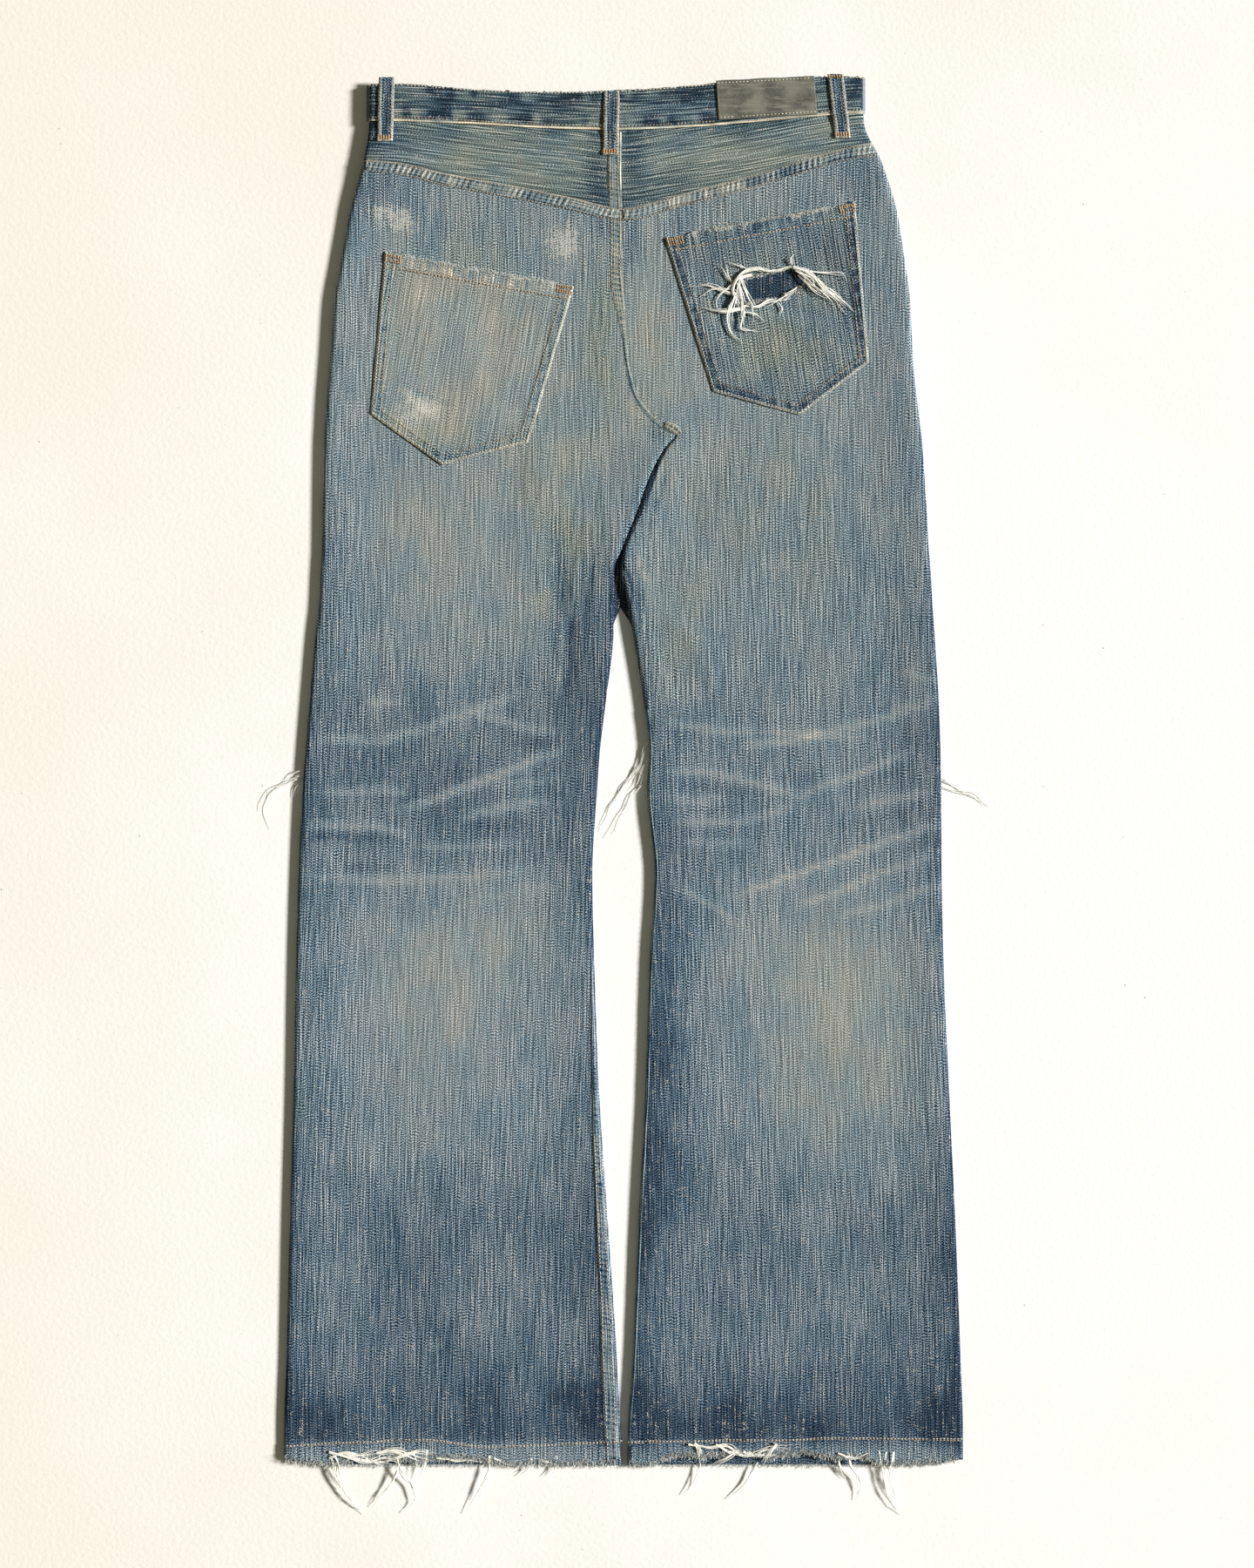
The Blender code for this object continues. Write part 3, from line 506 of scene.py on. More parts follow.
def skin(side, at_out, arc, drop):
    """x and height on a leg's skin, by the arc length from the outermost line of a folded edge: positive
    over the back and negative under the front."""
    inward = SIDES[side]["inward"] * np.where(at_out, 1, -1)
    line = np.where(at_out, edge(side, "out", drop), edge(side, "in", drop))
    share = np.where(at_out, 1.0, tube_share(drop))
    angle = np.minimum(1, abs(arc) / QUARTER) * math.pi / 2
    inset = FOLD_RADIUS * (1 - np.cos(angle)) + np.maximum(0, abs(arc) - QUARTER)
    x = line + inward * (inset + SEAM_STEP * (1 - share))
    half = curve(LEVELS, EDGE_THICK, drop) / 2
    front = front_height(drop) + np.zeros(np.shape(x))
    face = np.where(arc > 0, 1, -1)
    flat = np.where(arc > 0, back_flat(side, x, drop), front)
    return x, flat - face * share * half * (1 - np.sin(angle))


def worn(x, drop, pale, soil, patches, white=0.0):
    """How pale, how soiled and how far worn to the white the cloth is there, as three layers."""
    layers = [layer + np.zeros(np.shape(x)) for layer in (pale, soil, white)]
    for at_x, at_drop, across, down, *changes in patches:
        near = np.exp(-(((x - at_x) / across) ** 2) - ((drop - at_drop) / down) ** 2)
        for k, change in enumerate(changes):
            layers[k] = layers[k] + change * near
    layers[0] = layers[0] + 0.05 * unevenness(x, drop, 26, 44, 5) + 0.03 * unevenness(x, drop, 9, 20, 6)
    return np.stack([np.clip(layer, 0, 1.5) for layer in layers], axis=-1)


def leg_wear(x, drop):
    """A leg keeps more of its blue along its folded edges, behind the creases and at the hem; painted shade
    darkens part of that, in the crease troughs and in a narrow strip along the edges that face the light.
    """
    pale = curve(PALENESS, 1, drop) + crease_form(CREASES, x, drop)[1]
    for side in SIDES:
        for which, strength in (("out", 0.16), ("in", 0.15)):
            away = abs(x - edge(side, which, drop))
            below = smooth(drop, 90, 200) if which == "out" else smooth(drop, 300, 420)
            pale = pale - strength * below * hump(away, 26, 1.3)
    # painted shade: a narrow dark strip along the two edges that face the light
    for side, which in (("left", "in"), ("right", "out")):
        pale = pale - 0.30 * smooth(drop, 110, 380) * hump(abs(x - edge(side, which, drop)), 3.5)
    inner_calf = smooth(drop, 560, 680) * (1 - smooth(drop, 800, 980))
    pale = pale - 0.2 * hump(x - 34, 30) * inner_calf
    return worn(x, drop, pale, 0.18 * (1 - smooth(drop, 480, 620)), WEAR)


def puckers(along, away, reach, seed, period=7.0):
    """The roping beside a seam, from -1 to 1, where a shrunken thread has drawn the cloth together."""
    return unevenness(along, 0, period / 2, 1, seed) * hump(away, reach)


def rungs(along, seed, pitch=4.4):
    """Pale and dark bars along a sewn edge, from -1 to 1, as the shrunken thread has gathered it."""
    phase = along / pitch + 0.55 * unevenness(along, 0, 16, 1, seed)
    return np.sin(2 * math.pi * phase) * (0.62 + 0.38 * unevenness(along, 0, 9, 1, seed + 1))


def lean(x, drop):
    """How far the warp has moved sideways at a drop: it runs down the middle of each leg."""
    return np.where(x < 0, -14.0, 12.0) * smooth(drop, 300, 1100)


def make_denim(name, seed=0.0, contrast=1.0, steps=1.0):
    """Slubby ring-spun denim: uneven warp streaks, twill, pale flecks of weft, wear from the layers."""
    material, tree, shader = new_material(name, 0.88)
    shader.inputs["Specular IOR Level"].default_value = 0.15
    place = node(tree, "ShaderNodeUVMap", uv_map="cloth").outputs[0]
    layers = node(tree, "ShaderNodeAttribute", attribute_name="wear").outputs["Color"]
    pale, soil, white = node(tree, "ShaderNodeSeparateColor", {0: layers}).outputs[:3]

    def streaks(across, along, detail, offset):
        size, start = (1000 / across, 1000 / along, 1), (offset + seed, offset, 0)
        inputs = {"Vector": place, "Scale": size, "Location": start, "Rotation": (0, 0, 0.6)}
        moved = node(tree, "ShaderNodeMapping", inputs).outputs[0]
        inputs = {"Vector": moved, "Scale": 1.0, "Detail": detail, "Roughness": 0.55}
        return node(tree, "ShaderNodeTexNoise", inputs, noise_dimensions="2D").outputs[0]

    def threads(pitch, length, further=0.0):
        """Uneven from thread to thread, and slowly so along each of them."""
        thread = calculate(tree, "FLOOR", calculate(tree, "MULTIPLY_ADD", parts[0], 1000 / pitch, further))
        across = calculate(tree, "MULTIPLY_ADD", thread, 7.0, 0.5 + seed)
        along = calculate(tree, "MULTIPLY", parts[1], 1000 / length)
        along = calculate(tree, "MULTIPLY_ADD", thread, 0.618, along)
        spot = node(tree, "ShaderNodeCombineXYZ", {0: across, 1: along}).outputs[0]
        inputs = {"Vector": spot, "Scale": 1.0, "Detail": 0.0}
        return node(tree, "ShaderNodeTexNoise", inputs, noise_dimensions="2D").outputs[0]

    parts = node(tree, "ShaderNodeSeparateXYZ", {0: place}).outputs
    fine, beside, grain = threads(0.78, 24), threads(0.78, 24, 1.0), streaks(0.6, 0.9, 0.0, 23.8)
    broad, cloud = streaks(12, 110, 2.0, 41.3), streaks(36, 48, 3.0, 60.2)
    fleck, weft = streaks(0.8, 5.0, 1.0, 77.1), streaks(6.5, 4.0, 3.0, 90.4)
    slant = streaks(2.2, 13, 0.0, 55.3)
    # the twill's steps, which lean one way or the other from thread to thread
    step = calculate(tree, "MULTIPLY_ADD", parts[1], 1000 / 2.1, calculate(tree, "MULTIPLY", slant, 1.9))
    twill = calculate(tree, "SINE", calculate(tree, "MULTIPLY", step, 2 * math.pi))

    # what the wash has left of the indigo
    shade = varied(tree, broad, 0.13 * contrast, pale)
    shade = varied(tree, cloud, 0.30 * contrast, shade)
    stops = [
        (0, (0.011, 0.028, 0.054)),
        (0.12, (0.031, 0.067, 0.109)),
        (0.3, (0.069, 0.117, 0.157)),
        (0.45, (0.112, 0.166, 0.203)),
        (0.6, (0.16, 0.208, 0.236)),
        (0.75, (0.208, 0.248, 0.264)),
        (0.9, (0.258, 0.284, 0.288)),
        (1, (0.305, 0.325, 0.321)),
        (1.4, (0.66, 0.63, 0.56)),
    ]
    ramp = node(tree, "ShaderNodeValToRGB", {0: calculate(tree, "DIVIDE", shade, 1.4)})
    for k, (reach, colour) in enumerate(stops):
        stop = ramp.color_ramp.elements[k] if k < 2 else ramp.color_ramp.elements.new(reach / 1.4)
        stop.position, stop.color = reach / 1.4, (*colour, 1.0)
    tinted = colour_mix(tree, remap(tree, cloud, 0.35, 0.65), (0.965, 1.0, 1.02), (1.035, 0.995, 1.0))
    colour = colour_mix(tree, 1.0, ramp.outputs[0], tinted, blend="MULTIPLY")

    # the slubs of the warp and the steps of the twill, deeper where the indigo is
    ribs = calculate(tree, "SUBTRACT", fine, beside)
    slub = calculate(tree, "MULTIPLY_ADD", ribs, 1.3, calculate(tree, "MULTIPLY", twill, 0.62 * steps))
    for source, strength in ((fine, 0.35), (grain, 2.0 * steps)):
        slub = varied(tree, source, strength, slub)
    slub = calculate(tree, "MULTIPLY", slub, remap(tree, pale, 0.1, 0.8, 3.0, 1.0))
    slub = calculate(tree, "EXPONENT", calculate(tree, "SUBTRACT", slub, 0.05))
    slub = calculate(tree, "DIVIDE", slub, calculate(tree, "MULTIPLY_ADD", slub, 0.2, 0.8))
    powers = (remap(tree, pale, 0.0, 0.8, 1.32, 1.06), 1.0, remap(tree, pale, 0.0, 0.8, 0.84, 0.98))
    tone = {k: calculate(tree, "POWER", slub, power) for k, power in enumerate(powers)}
    tone = node(tree, "ShaderNodeCombineXYZ", tone).outputs[0]
    colour = node(tree, "ShaderNodeVectorMath", {0: colour, 1: tone}, operation="MULTIPLY").outputs[0]
    flecks = remap(tree, fleck, 0.60, 0.78)
    flecks = calculate(tree, "MULTIPLY", flecks, remap(tree, pale, 0.0, 0.5, 0.03, 0.2))
    colour = colour_mix(tree, flecks, colour, (0.42, 0.46, 0.46))
    soiled = colour_mix(tree, 1.0, colour, (1.07, 0.985, 0.80), blend="MULTIPLY")
    dirt = calculate(tree, "MULTIPLY", soil, remap(tree, cloud, 0.3, 0.7, 0.4, 1.0))
    colour = colour_mix(tree, dirt, colour, soiled)
    bare = varied(tree, weft, 1.6, white)
    for source, strength in ((grain, 1.4), (fine, 1.2), (twill, 0.16)):
        bare = varied(tree, source, strength, bare)
    bare = remap(tree, bare, 0.45, 0.85, 0.0, 0.95)
    bare = calculate(tree, "MULTIPLY", bare, remap(tree, grain, 0.42, 0.56, 0.3, 1.0))
    colour = colour_mix(tree, bare, colour, (0.56, 0.55, 0.51))
    inner = node(tree, "ShaderNodeAttribute", attribute_name="reverse").outputs["Fac"]
    # where the cloth is painted dark as shade, its paler reverse side is held back too
    inner = calculate(tree, "MULTIPLY", inner, remap(tree, pale, -0.4, 0.0, 0.0, 0.6))
    colour = colour_mix(tree, inner, colour, (0.34, 0.37, 0.38))

    relief = calculate(tree, "MULTIPLY_ADD", twill, 0.12, fine)
    relief = calculate(tree, "MULTIPLY_ADD", grain, 0.5, relief)
    dress(tree, shader, colour, relief, 0.4, 0.0006)
    return material


TURNED_HEM = -0.53  # y, in metres, below which the inside of the cloth is its turned hem


def cloth_piece(
    name, x, drop, height, warp, weft, layers, material, thickness=CLOTH, depth=0.0, flip=False, missing=None
):
    """A closed shell of cloth under a grid of places on its outer face, or that deep under them.

    warp and weft are each place's position on the cloth in millimetres, down and across the grain, and
    missing marks the cells of the grid that are torn out.
    """
    x, drop, height, warp, weft = np.broadcast_arrays(x, drop, height, warp, weft)
    layer = x.size  # places on one face
    outer = np.stack([x, LENGTH / 2 - drop, height], axis=-1) * MM
    normal = np.cross(np.gradient(outer, axis=0), np.gradient(outer, axis=1))
    normal /= np.linalg.norm(normal, axis=-1, keepdims=True) + 1e-12
    normal = -normal if flip else normal
    outer = outer - normal * depth * MM
    inner = outer - normal * thickness * MM
    points = np.concatenate([outer.reshape(-1, 3), inner.reshape(-1, 3)])
    index = np.arange(layer).reshape(x.shape)
    cells = np.stack([index[:-1, :-1], index[1:, :-1], index[1:, 1:], index[:-1, 1:]], axis=-1)
    kept = np.ones(cells.shape[:2], bool) if missing is None else ~missing
    quads = cells[kept][:, ::-1] if flip else cells[kept]
    sides = np.concatenate([quads[:, [k, (k + 1) % 4]] for k in range(4)])
    rims = sides[~np.isin(sides[:, 0] * layer + sides[:, 1], sides[:, 1] * layer + sides[:, 0])]
    walls = np.stack([rims[:, 1], rims[:, 0], rims[:, 0] + layer, rims[:, 1] + layer], axis=-1)
    faces = np.concatenate([quads, quads[:, ::-1] + layer, walls])
    used = np.unique(faces)
    renumber = np.zeros(len(points), int)
    renumber[used] = np.arange(len(used))
    faces = renumber[faces]
    mesh = bpy.data.meshes.new(name)
    mesh.from_pydata(points[used].tolist(), [], faces.tolist())
    mesh.polygons.foreach_set("use_smooth", np.ones(len(faces), bool))
    where = np.stack([weft, -warp], axis=-1).reshape(-1, 2) * MM
    where = np.concatenate([where, where])[used]
    loops = np.zeros(len(mesh.loops), np.int32)
    mesh.loops.foreach_get("vertex_index", loops)
    mesh.uv_layers.new(name="cloth").data.foreach_set("uv", where[loops].astype(np.float32).ravel())
    shade = np.concatenate([layers.reshape(-1, 3), layers.reshape(-1, 3)])[used]
    shade = np.concatenate([shade, np.ones((len(used), 1))], axis=1)
    stored = mesh.attributes.new("wear", "FLOAT_COLOR", "POINT")
    stored.data.foreach_set("color", shade.astype(np.float32).ravel())
    # the turned hem shows the right side of the cloth on its inside too
    inside = ((used >= layer) & (points[used, 1] > TURNED_HEM)).astype(np.float32)
    mesh.attributes.new("reverse", "FLOAT", "POINT").data.foreach_set("value", inside)
    mesh.materials.append(material)
    mesh.validate()
    made = bpy.data.objects.new(name, mesh)
    scene.collection.objects.link(made)
    return made


INSEAM_ROLL = 15.0  # how far the left inner leg seam has rolled onto the back at the hem
# x, half width and depth of the bites out of the hems
BITES = [(-196, 34, 4.5), (-136, 34, 5.5), (52, 30, 7.0), (92, 42, 9.5), (142, 36, 8.5), (182, 24, 5.5)]
# columns of a back panel where the outer rounding ends and where the inner one starts, and all of them
AT_FOLD, AT_INNER, BACK_COLUMNS = 5, 62, 69
SETTLING = 5  # rounds in which a panel's edge lines settle on the skin


def seam_roll(side, drop):
    """How far the inner leg seam lies in on the back."""
    return INSEAM_ROLL * smooth(drop, 700, 1040) if side == "left" else 0.0 * drop


def hem_line(x, on_back):
    """Drop of the hem's raw edge, with the bites that wear has taken out of the back."""
    line = LENGTH - 4 * smooth(abs(x), 235, 272)
    if on_back:
        for at, half_width, depth in BITES:
            line = np.minimum(line, LENGTH - depth * np.clip(1 - ((x - at) / half_width) ** 2, 0, 1))
        line = line - 1.2 + 1.2 * unevenness(x, 0, 3.5, 1, 11)
    return line


def back_arcs(side, drop):
    """Whether each place of a back panel's grid hangs on the outer edge, and its arc length from there."""
    column = np.arange(BACK_COLUMNS)
    roll = seam_roll(side, drop)
    reach = np.maximum(QUARTER, roll + 8)
    end = QUARTER + abs(edge(side, "in", drop) - edge(side, "out", drop)) - FOLD_RADIUS - reach
    end = end + QUARTER - FOLD_RADIUS
    outer = SEAM_STEP + (QUARTER - SEAM_STEP) * column / AT_FOLD
    across = QUARTER + (end - QUARTER) * (column - AT_FOLD) / (AT_INNER - AT_FOLD)
    inner = reach + (roll + SEAM_STEP - reach) * (column - AT_INNER) / (BACK_COLUMNS - 1 - AT_INNER)
    arcs = np.where(column <= AT_FOLD, outer, np.where(column <= AT_INNER, across, inner))
    return column <= AT_INNER, arcs


def panel_drops(side, arcs_at, count, top_line, bottom_line):
    """Drop of each place of a leg panel's grid, from its top line to its hem, both drops for an x."""
    first, last, pitch = 210.0, 1084.0, 4.0
    top, bottom = np.full((1, count), 100.0), np.full((1, count), LENGTH)
    for _ in range(SETTLING):
        top = top_line(skin(side, *arcs_at(side, top), top)[0])
        bottom = bottom_line(skin(side, *arcs_at(side, bottom), bottom)[0])
    upper = top + (first - top) * np.linspace(0, 1, 34)[:-1, None]
    middle = np.repeat(np.arange(first, last + 0.1, pitch)[:, None], count, axis=1)
    lower = middle[-1:] + (bottom - middle[-1:]) * np.linspace(0, 1, 12)[1:, None]
    return np.concatenate([upper, middle, lower])


worn_denim = make_denim("worn denim")
for side in SIDES:
    drop = panel_drops(
        side, back_arcs, BACK_COLUMNS, lambda x: curve(WAIST_LINES, YOKE_SEAM, x) + SEAM_STEP,
        lambda x: hem_line(x, True),
    )
    x, height = skin(side, *back_arcs(side, drop), drop)
    height = height + 0.7 * smooth(drop, 1097, 1100)
    grain = x - lean(x, drop)
    panel = cloth_piece(
        f"{side}_leg_back", x, drop, height, drop, grain, leg_wear(x, drop), worn_denim, flip=side == "right"
    )
    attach(panel, "root")
    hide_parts(f"back_leg_{side}")

# ------------------------------------------------------------------ front panels of the legs
# The same denim.  Each front panel is cut away in a quarter of an ellipse for its pocket mouth, and worn
# through across the knee.

MOUTH_WIDTH, MOUTH_DEPTH = 98.0, 82.0
FRONT_CREASES = [
    (-240, 520, -60, 534, 3, 8, 0.5, 0.12),
    (-246, 548, -150, 542, -2, 6, 0.5, 0.14),
    (-120, 610, -30, 590, 2, 6, 0.6, 0.14),
    (-250, 628, -90, 640, 4, 9, 0.5, 0.1),
    (30, 538, 150, 524, 3, 7, 0.5, 0.13),
    (110, 604, 246, 616, -3, 7, 0.6, 0.14),
    (40, 648, 190, 634, 4, 9, 0.5, 0.1),
    (-216, 196, -60, 262, 5, 8, 0.6, 0.16),  # whiskers that fan out from the crotch
    (-228, 232, -50, 276, 6, 7, 0.5, 0.14),
    (-226, 168, -70, 240, 4, 7, 0.5, 0.15),
    (228, 178, 80, 236, 4, 8, 0.6, 0.16),
    (222, 214, 76, 264, 5, 7, 0.5, 0.14),
    (232, 252, 86, 288, 6, 7, 0.5, 0.12),
]
FRONT_WEAR = [
    (-130, 330, 56, 110, 0.26, 0.15, 0),
    (130, 330, 56, 110, 0.26, 0.15, 0),
    (-140, 571, 64, 60, 0.26, 0.1, 0.1),
    (140, 571, 64, 60, 0.26, 0.1, 0.1),
    (-140, 760, 50, 90, 0.14, 0.1, 0),
    (140, 760, 50, 90, 0.14, 0.1, 0),
    (-8, 210, 26, 60, -0.1, 0.2, 0),
    (-2, 412, 12, 40, -1.5, 0.4, 0),  # between the legs: painted shade in the gap
]
# columns of a front panel where the pocket mouth ends and where the inner rounding starts, and all of them
AT_MOUTH_END, AT_FRONT_INNER, FRONT_COLUMNS = 29, 57, 70
# inset of both ends from the outer edge, drop and half height of the tears across the knees
KNEE_TEARS = {"left": (33, 136, 571, 11), "right": (133, 233, 571, 11)}


def front_dip(x):
    """How much lower the front waist lies than the back."""
    return 7.0 * np.cos(math.pi / 2 * np.minimum(1, abs(x) / 200)) ** 2


def mouth_line(x, inset, width, depth):
    """Drop of a pocket mouth that far in from the side, or of the waist seam beyond it."""
    mouth = depth * np.sqrt(1 - np.minimum(1, inset / width) ** 2)
    return curve(WAIST_LINES, BAND_SEAM, x) + front_dip(x) + mouth


def front_arcs(side, drop):
    """Whether each place of a front panel's grid hangs on the outer edge, and its arc length from there."""
    column = np.arange(FRONT_COLUMNS)
    width = abs(edge(side, "in", drop) - edge(side, "out", drop))
    to_flat = QUARTER - FOLD_RADIUS
    start = math.asin(FOLD_RADIUS / MOUTH_WIDTH)
    in_mouth = np.clip((column - AT_FOLD) / (AT_MOUTH_END - AT_FOLD), 0, 1)
    mouth = to_flat + MOUTH_WIDTH * np.sin(start + (math.pi / 2 - start) * in_mouth)
    beyond = (width - FOLD_RADIUS - MOUTH_WIDTH) * (column - AT_MOUTH_END)
    rest = to_flat + MOUTH_WIDTH + beyond / (AT_FRONT_INNER - AT_MOUTH_END)
    inner = (seam_roll(side, drop) - SEAM_STEP + QUARTER) * (column - AT_FRONT_INNER)
    inner = -QUARTER + inner / (FRONT_COLUMNS - 1 - AT_FRONT_INNER)
    outer = SEAM_STEP + (QUARTER - SEAM_STEP) * column / AT_FOLD
    across = np.where(column <= AT_FOLD, outer, np.where(column <= AT_MOUTH_END, mouth, rest))
    return column <= AT_FRONT_INNER, np.where(column <= AT_FRONT_INNER, -across, inner)


def tear_out(x, drop, depth_in_tear):
    """Cells of a grid that lie in a tear, whose border places are moved onto its edge.

    depth_in_tear gives how far inside the tear a place lies, in millimetres, negative outside.
    """
    inside = depth_in_tear(x, drop)
    middle = (inside[:-1, :-1] + inside[1:, :-1] + inside[1:, 1:] + inside[:-1, 1:]) / 4
    missing = middle > 0
    around = np.pad(missing, 1)
    touched = [around[:-1, :-1], around[1:, :-1], around[1:, 1:], around[:-1, 1:]]
    border = np.logical_or.reduce(touched) & ~np.logical_and.reduce(touched)
    for _ in range(3):
        step, here = 0.2, depth_in_tear(x, drop)
        slope_x = (depth_in_tear(x + step, drop) - here) / step
        slope_drop = (depth_in_tear(x, drop + step) - here) / step
        size = slope_x**2 + slope_drop**2 + 0.05
        x = x - np.where(border, np.clip(here * slope_x / size, -2, 2), 0)
        drop = drop - np.where(border, np.clip(here * slope_drop / size, -2, 2), 0)
    return x, drop, missing


def slit(x, drop, at_x, at_drop, half_length, half_height, slope, seed, power=2):
    """How far inside a ragged lens-shaped tear a place lies."""
    along = (x - at_x) / half_length
    off = drop - at_drop - slope * (x - at_x)
    off = off + 1.3 * unevenness(x, off > 0, 5, 1, seed) + 0.7 * unevenness(x, off > 0, 2.3, 1, seed + 1)
    half = half_height * np.sqrt(np.clip(1 - abs(along) ** power, 0, 1))
    return np.minimum(half - abs(off), (1 - abs(along)) * half_length)


def knee_tear(side):
    """The tear across a knee, as slit takes it."""
    start, end, tear_drop, half_height = KNEE_TEARS[side]
    tear_x = edge(side, "out", tear_drop) + SIDES[side]["inward"] * (start + end) / 2
    return tear_x, tear_drop, (end - start) / 2, half_height, 0.03, 21


def gap_shade_fold(side, at_out, arc, x, drop):
    """How far the front's cloth bags out into the gap between the legs just below the fork, where it is
    painted dark as the shade between the legs.
    """
    gap = edge("right", "in", drop) - edge("left", "in", drop)
    reach = smooth(drop, 368, 388) * (1 - smooth(drop, 418, 448))
    on_flat = 1 - smooth(abs(x - edge(side, "in", drop)), 5, 30)
    near = np.where(at_out, on_flat, smooth(-arc, 0.6, 0.8 * QUARTER))
    return SIDES[side]["inward"] * reach * near * np.minimum(0.52 * gap + FOLD_RADIUS, 11)


for side in SIDES:
    outer_edge = edge(side, "out", 100)
    drop = panel_drops(
        side, front_arcs, FRONT_COLUMNS,
        lambda x: mouth_line(x, abs(x - outer_edge), MOUTH_WIDTH, MOUTH_DEPTH) + SEAM_STEP,
        lambda x: hem_line(x, False),
    )
    at_out, arcs = front_arcs(side, drop)
    x, height = skin(side, at_out, arcs, drop)
    bag = gap_shade_fold(side, at_out, arcs, x, drop)
    x = x + bag
    on_front = arcs < -QUARTER
    relief, paler = crease_form(FRONT_CREASES, x, drop)
    height = height + on_front * (np.maximum(relief, 0) + 0.2 + 0.2 * unevenness(x, drop, 40, 60, 8))
    tear = knee_tear(side)
    x, drop, missing = tear_out(x, drop, lambda x, drop: slit(x, drop, *tear))
    missing &= on_front[1:, 1:]
    pale = curve(PALENESS, 1, drop) + paler - 0.06 - 0.4 * smooth(drop, 1080, 1100)
    layers = worn(x, drop, pale, 0.1, FRONT_WEAR)
    layers[..., 2] = layers[..., 2] + 0.9 * smooth(slit(x, drop, *tear), -9, -1)
    # painted shade: the cloth pushed into the gap is darkened to stand for the shade between the legs
    layers[..., 0] = layers[..., 0] - 1.2 * smooth(abs(bag), 0.4, 2)
    grain = x - lean(x, drop)
    panel = cloth_piece(
        f"{side}_leg_front", x, drop, height, drop, grain, layers, worn_denim, flip=side == "left",
        missing=missing,
    )
    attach(panel, "root")
    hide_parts(f"front_leg_{side}")

# ------------------------------------------------------------------ front pocket facings
# Unworn indigo denim behind each pocket mouth, where the hand goes in.  It is sewn into the waist seam and
# the side seam, and the pocket bag hangs from it out of sight.

FACING_COLUMNS = 32
FACING_OVERLAP = 14  # how far it reaches behind the front panel

unworn_denim = make_denim("unworn denim", seed=200.0, contrast=0.35)
for side in SIDES:
    outer_edge = edge(side, "out", 100)
    wide, deep = MOUTH_WIDTH + FACING_OVERLAP, MOUTH_DEPTH + FACING_OVERLAP
    column = np.arange(FACING_COLUMNS)
    start = math.asin(FOLD_RADIUS / wide)
    turn = (math.radians(78) - start) * (column - AT_FOLD) / (FACING_COLUMNS - 1 - AT_FOLD)
    arcs = QUARTER - FOLD_RADIUS + wide * np.sin(start + turn)
    outer = SEAM_STEP + (QUARTER - SEAM_STEP) * column / AT_FOLD
    arcs = -np.where(column <= AT_FOLD, outer, arcs)[None, :]
    top, bottom = np.full(arcs.shape, 40.0), np.full(arcs.shape, 100.0)
    for _ in range(SETTLING):
        top = mouth_line(skin(side, True, arcs, top)[0], wide, wide, deep) + SEAM_STEP
        x = skin(side, True, arcs, bottom)[0]
        bottom = mouth_line(x, abs(x - outer_edge), wide, deep)
    drop = top + (bottom - top) * np.linspace(0, 1, 24)[:, None]
    x, height = skin(side, True, arcs + 0 * drop, drop)
    facing = cloth_piece(
        f"{side}_pocket_facing", x, drop, height, drop, x, worn(x, drop, 0.16, 0, []), unworn_denim,
        depth=1.7, flip=side == "left",
    )
    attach(facing, "root")
    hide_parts(f"front_pocket_facing_{side}")

# ------------------------------------------------------------------ yokes
# The same denim cut with its warp across, so that its slubs run sideways.  Each yoke closes a back panel to
# the waistband, and both meet in a felled seam at the middle.

YOKE_WEAR = [
    (-70, 74, 60, 20, 0.22, 0.9, 0),
    (-120, 62, 60, 14, 0.04, 0.4, 0),
    (-215, 52, 30, 40, -0.26, -0.5, 0),
    (-22, 66, 10, 30, -0.36, -0.4, 0),
    (-20, 92, 16, 12, -0.2, -0.2, 0),
    (-170, 48, 60, 7, -0.1, -0.2, 0),
    (6, 62, 12, 30, -0.42, -0.6, 0),
    (22, 94, 24, 8, -0.16, -0.2, 0),
    (85, 66, 60, 16, 0.26, 0.5, 0),
    (140, 56, 50, 14, 0.12, 0.5, 0),
    (200, 42, 16, 26, -0.24, -0.5, 0),
]

cross_denim = make_denim("cross-cut denim", seed=100.0, steps=0.5)
for side in SIDES:
    lines = [np.full((1, BACK_COLUMNS), drop) for drop in (45.0, 85.0)]
    for _ in range(SETTLING):
        places = [skin(side, *back_arcs(side, line), line)[0] for line in lines]
        lines = [
            curve(WAIST_LINES, BAND_SEAM, places[0]) - 1.0,
            curve(WAIST_LINES, YOKE_SEAM, places[1]) - SEAM_STEP,
        ]
    drop = lines[0] + (lines[1] - lines[0]) * np.linspace(0, 1, 22)[:, None]
    x, height = skin(side, *back_arcs(side, drop), drop)
    # soft drag lines run across it, and it is drawn in under the waistband
    below_band = drop - curve(WAIST_LINES, BAND_SEAM, x)
    height = height + 0.3 * unevenness(x, drop, 60, 9, 31) - 0.5 * hump(below_band, 5)
    middle = (curve(WAIST_LINES, BAND_SEAM, x) + curve(WAIST_LINES, YOKE_SEAM, x)) / 2
    pale = 0.38 + 0.14 * unevenness(x, drop - 0.4 * middle, 50, 5, 32)
    # painted shade darkens the yoke just under the waistband's edge; the puckers beside it are roping
    pale = pale - 0.12 * hump(below_band, 6) + 0.12 * puckers(x, below_band, 5, 33)
    yoke = cloth_piece(
        f"{side}_yoke", x, drop, height, x, drop - middle, worn(x, drop, pale, 1.6, YOKE_WEAR),
        cross_denim, flip=side == "right",
    )
    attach(yoke, "root")
    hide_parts(f"yoke_{side}")

# ------------------------------------------------------------------ waistband
# One strip of denim folded over along its top, 33 mm deep, with its warp along it.  It runs from the
# buttonhole end round the back to the button end, and its lower edge has worn to a pale rope.

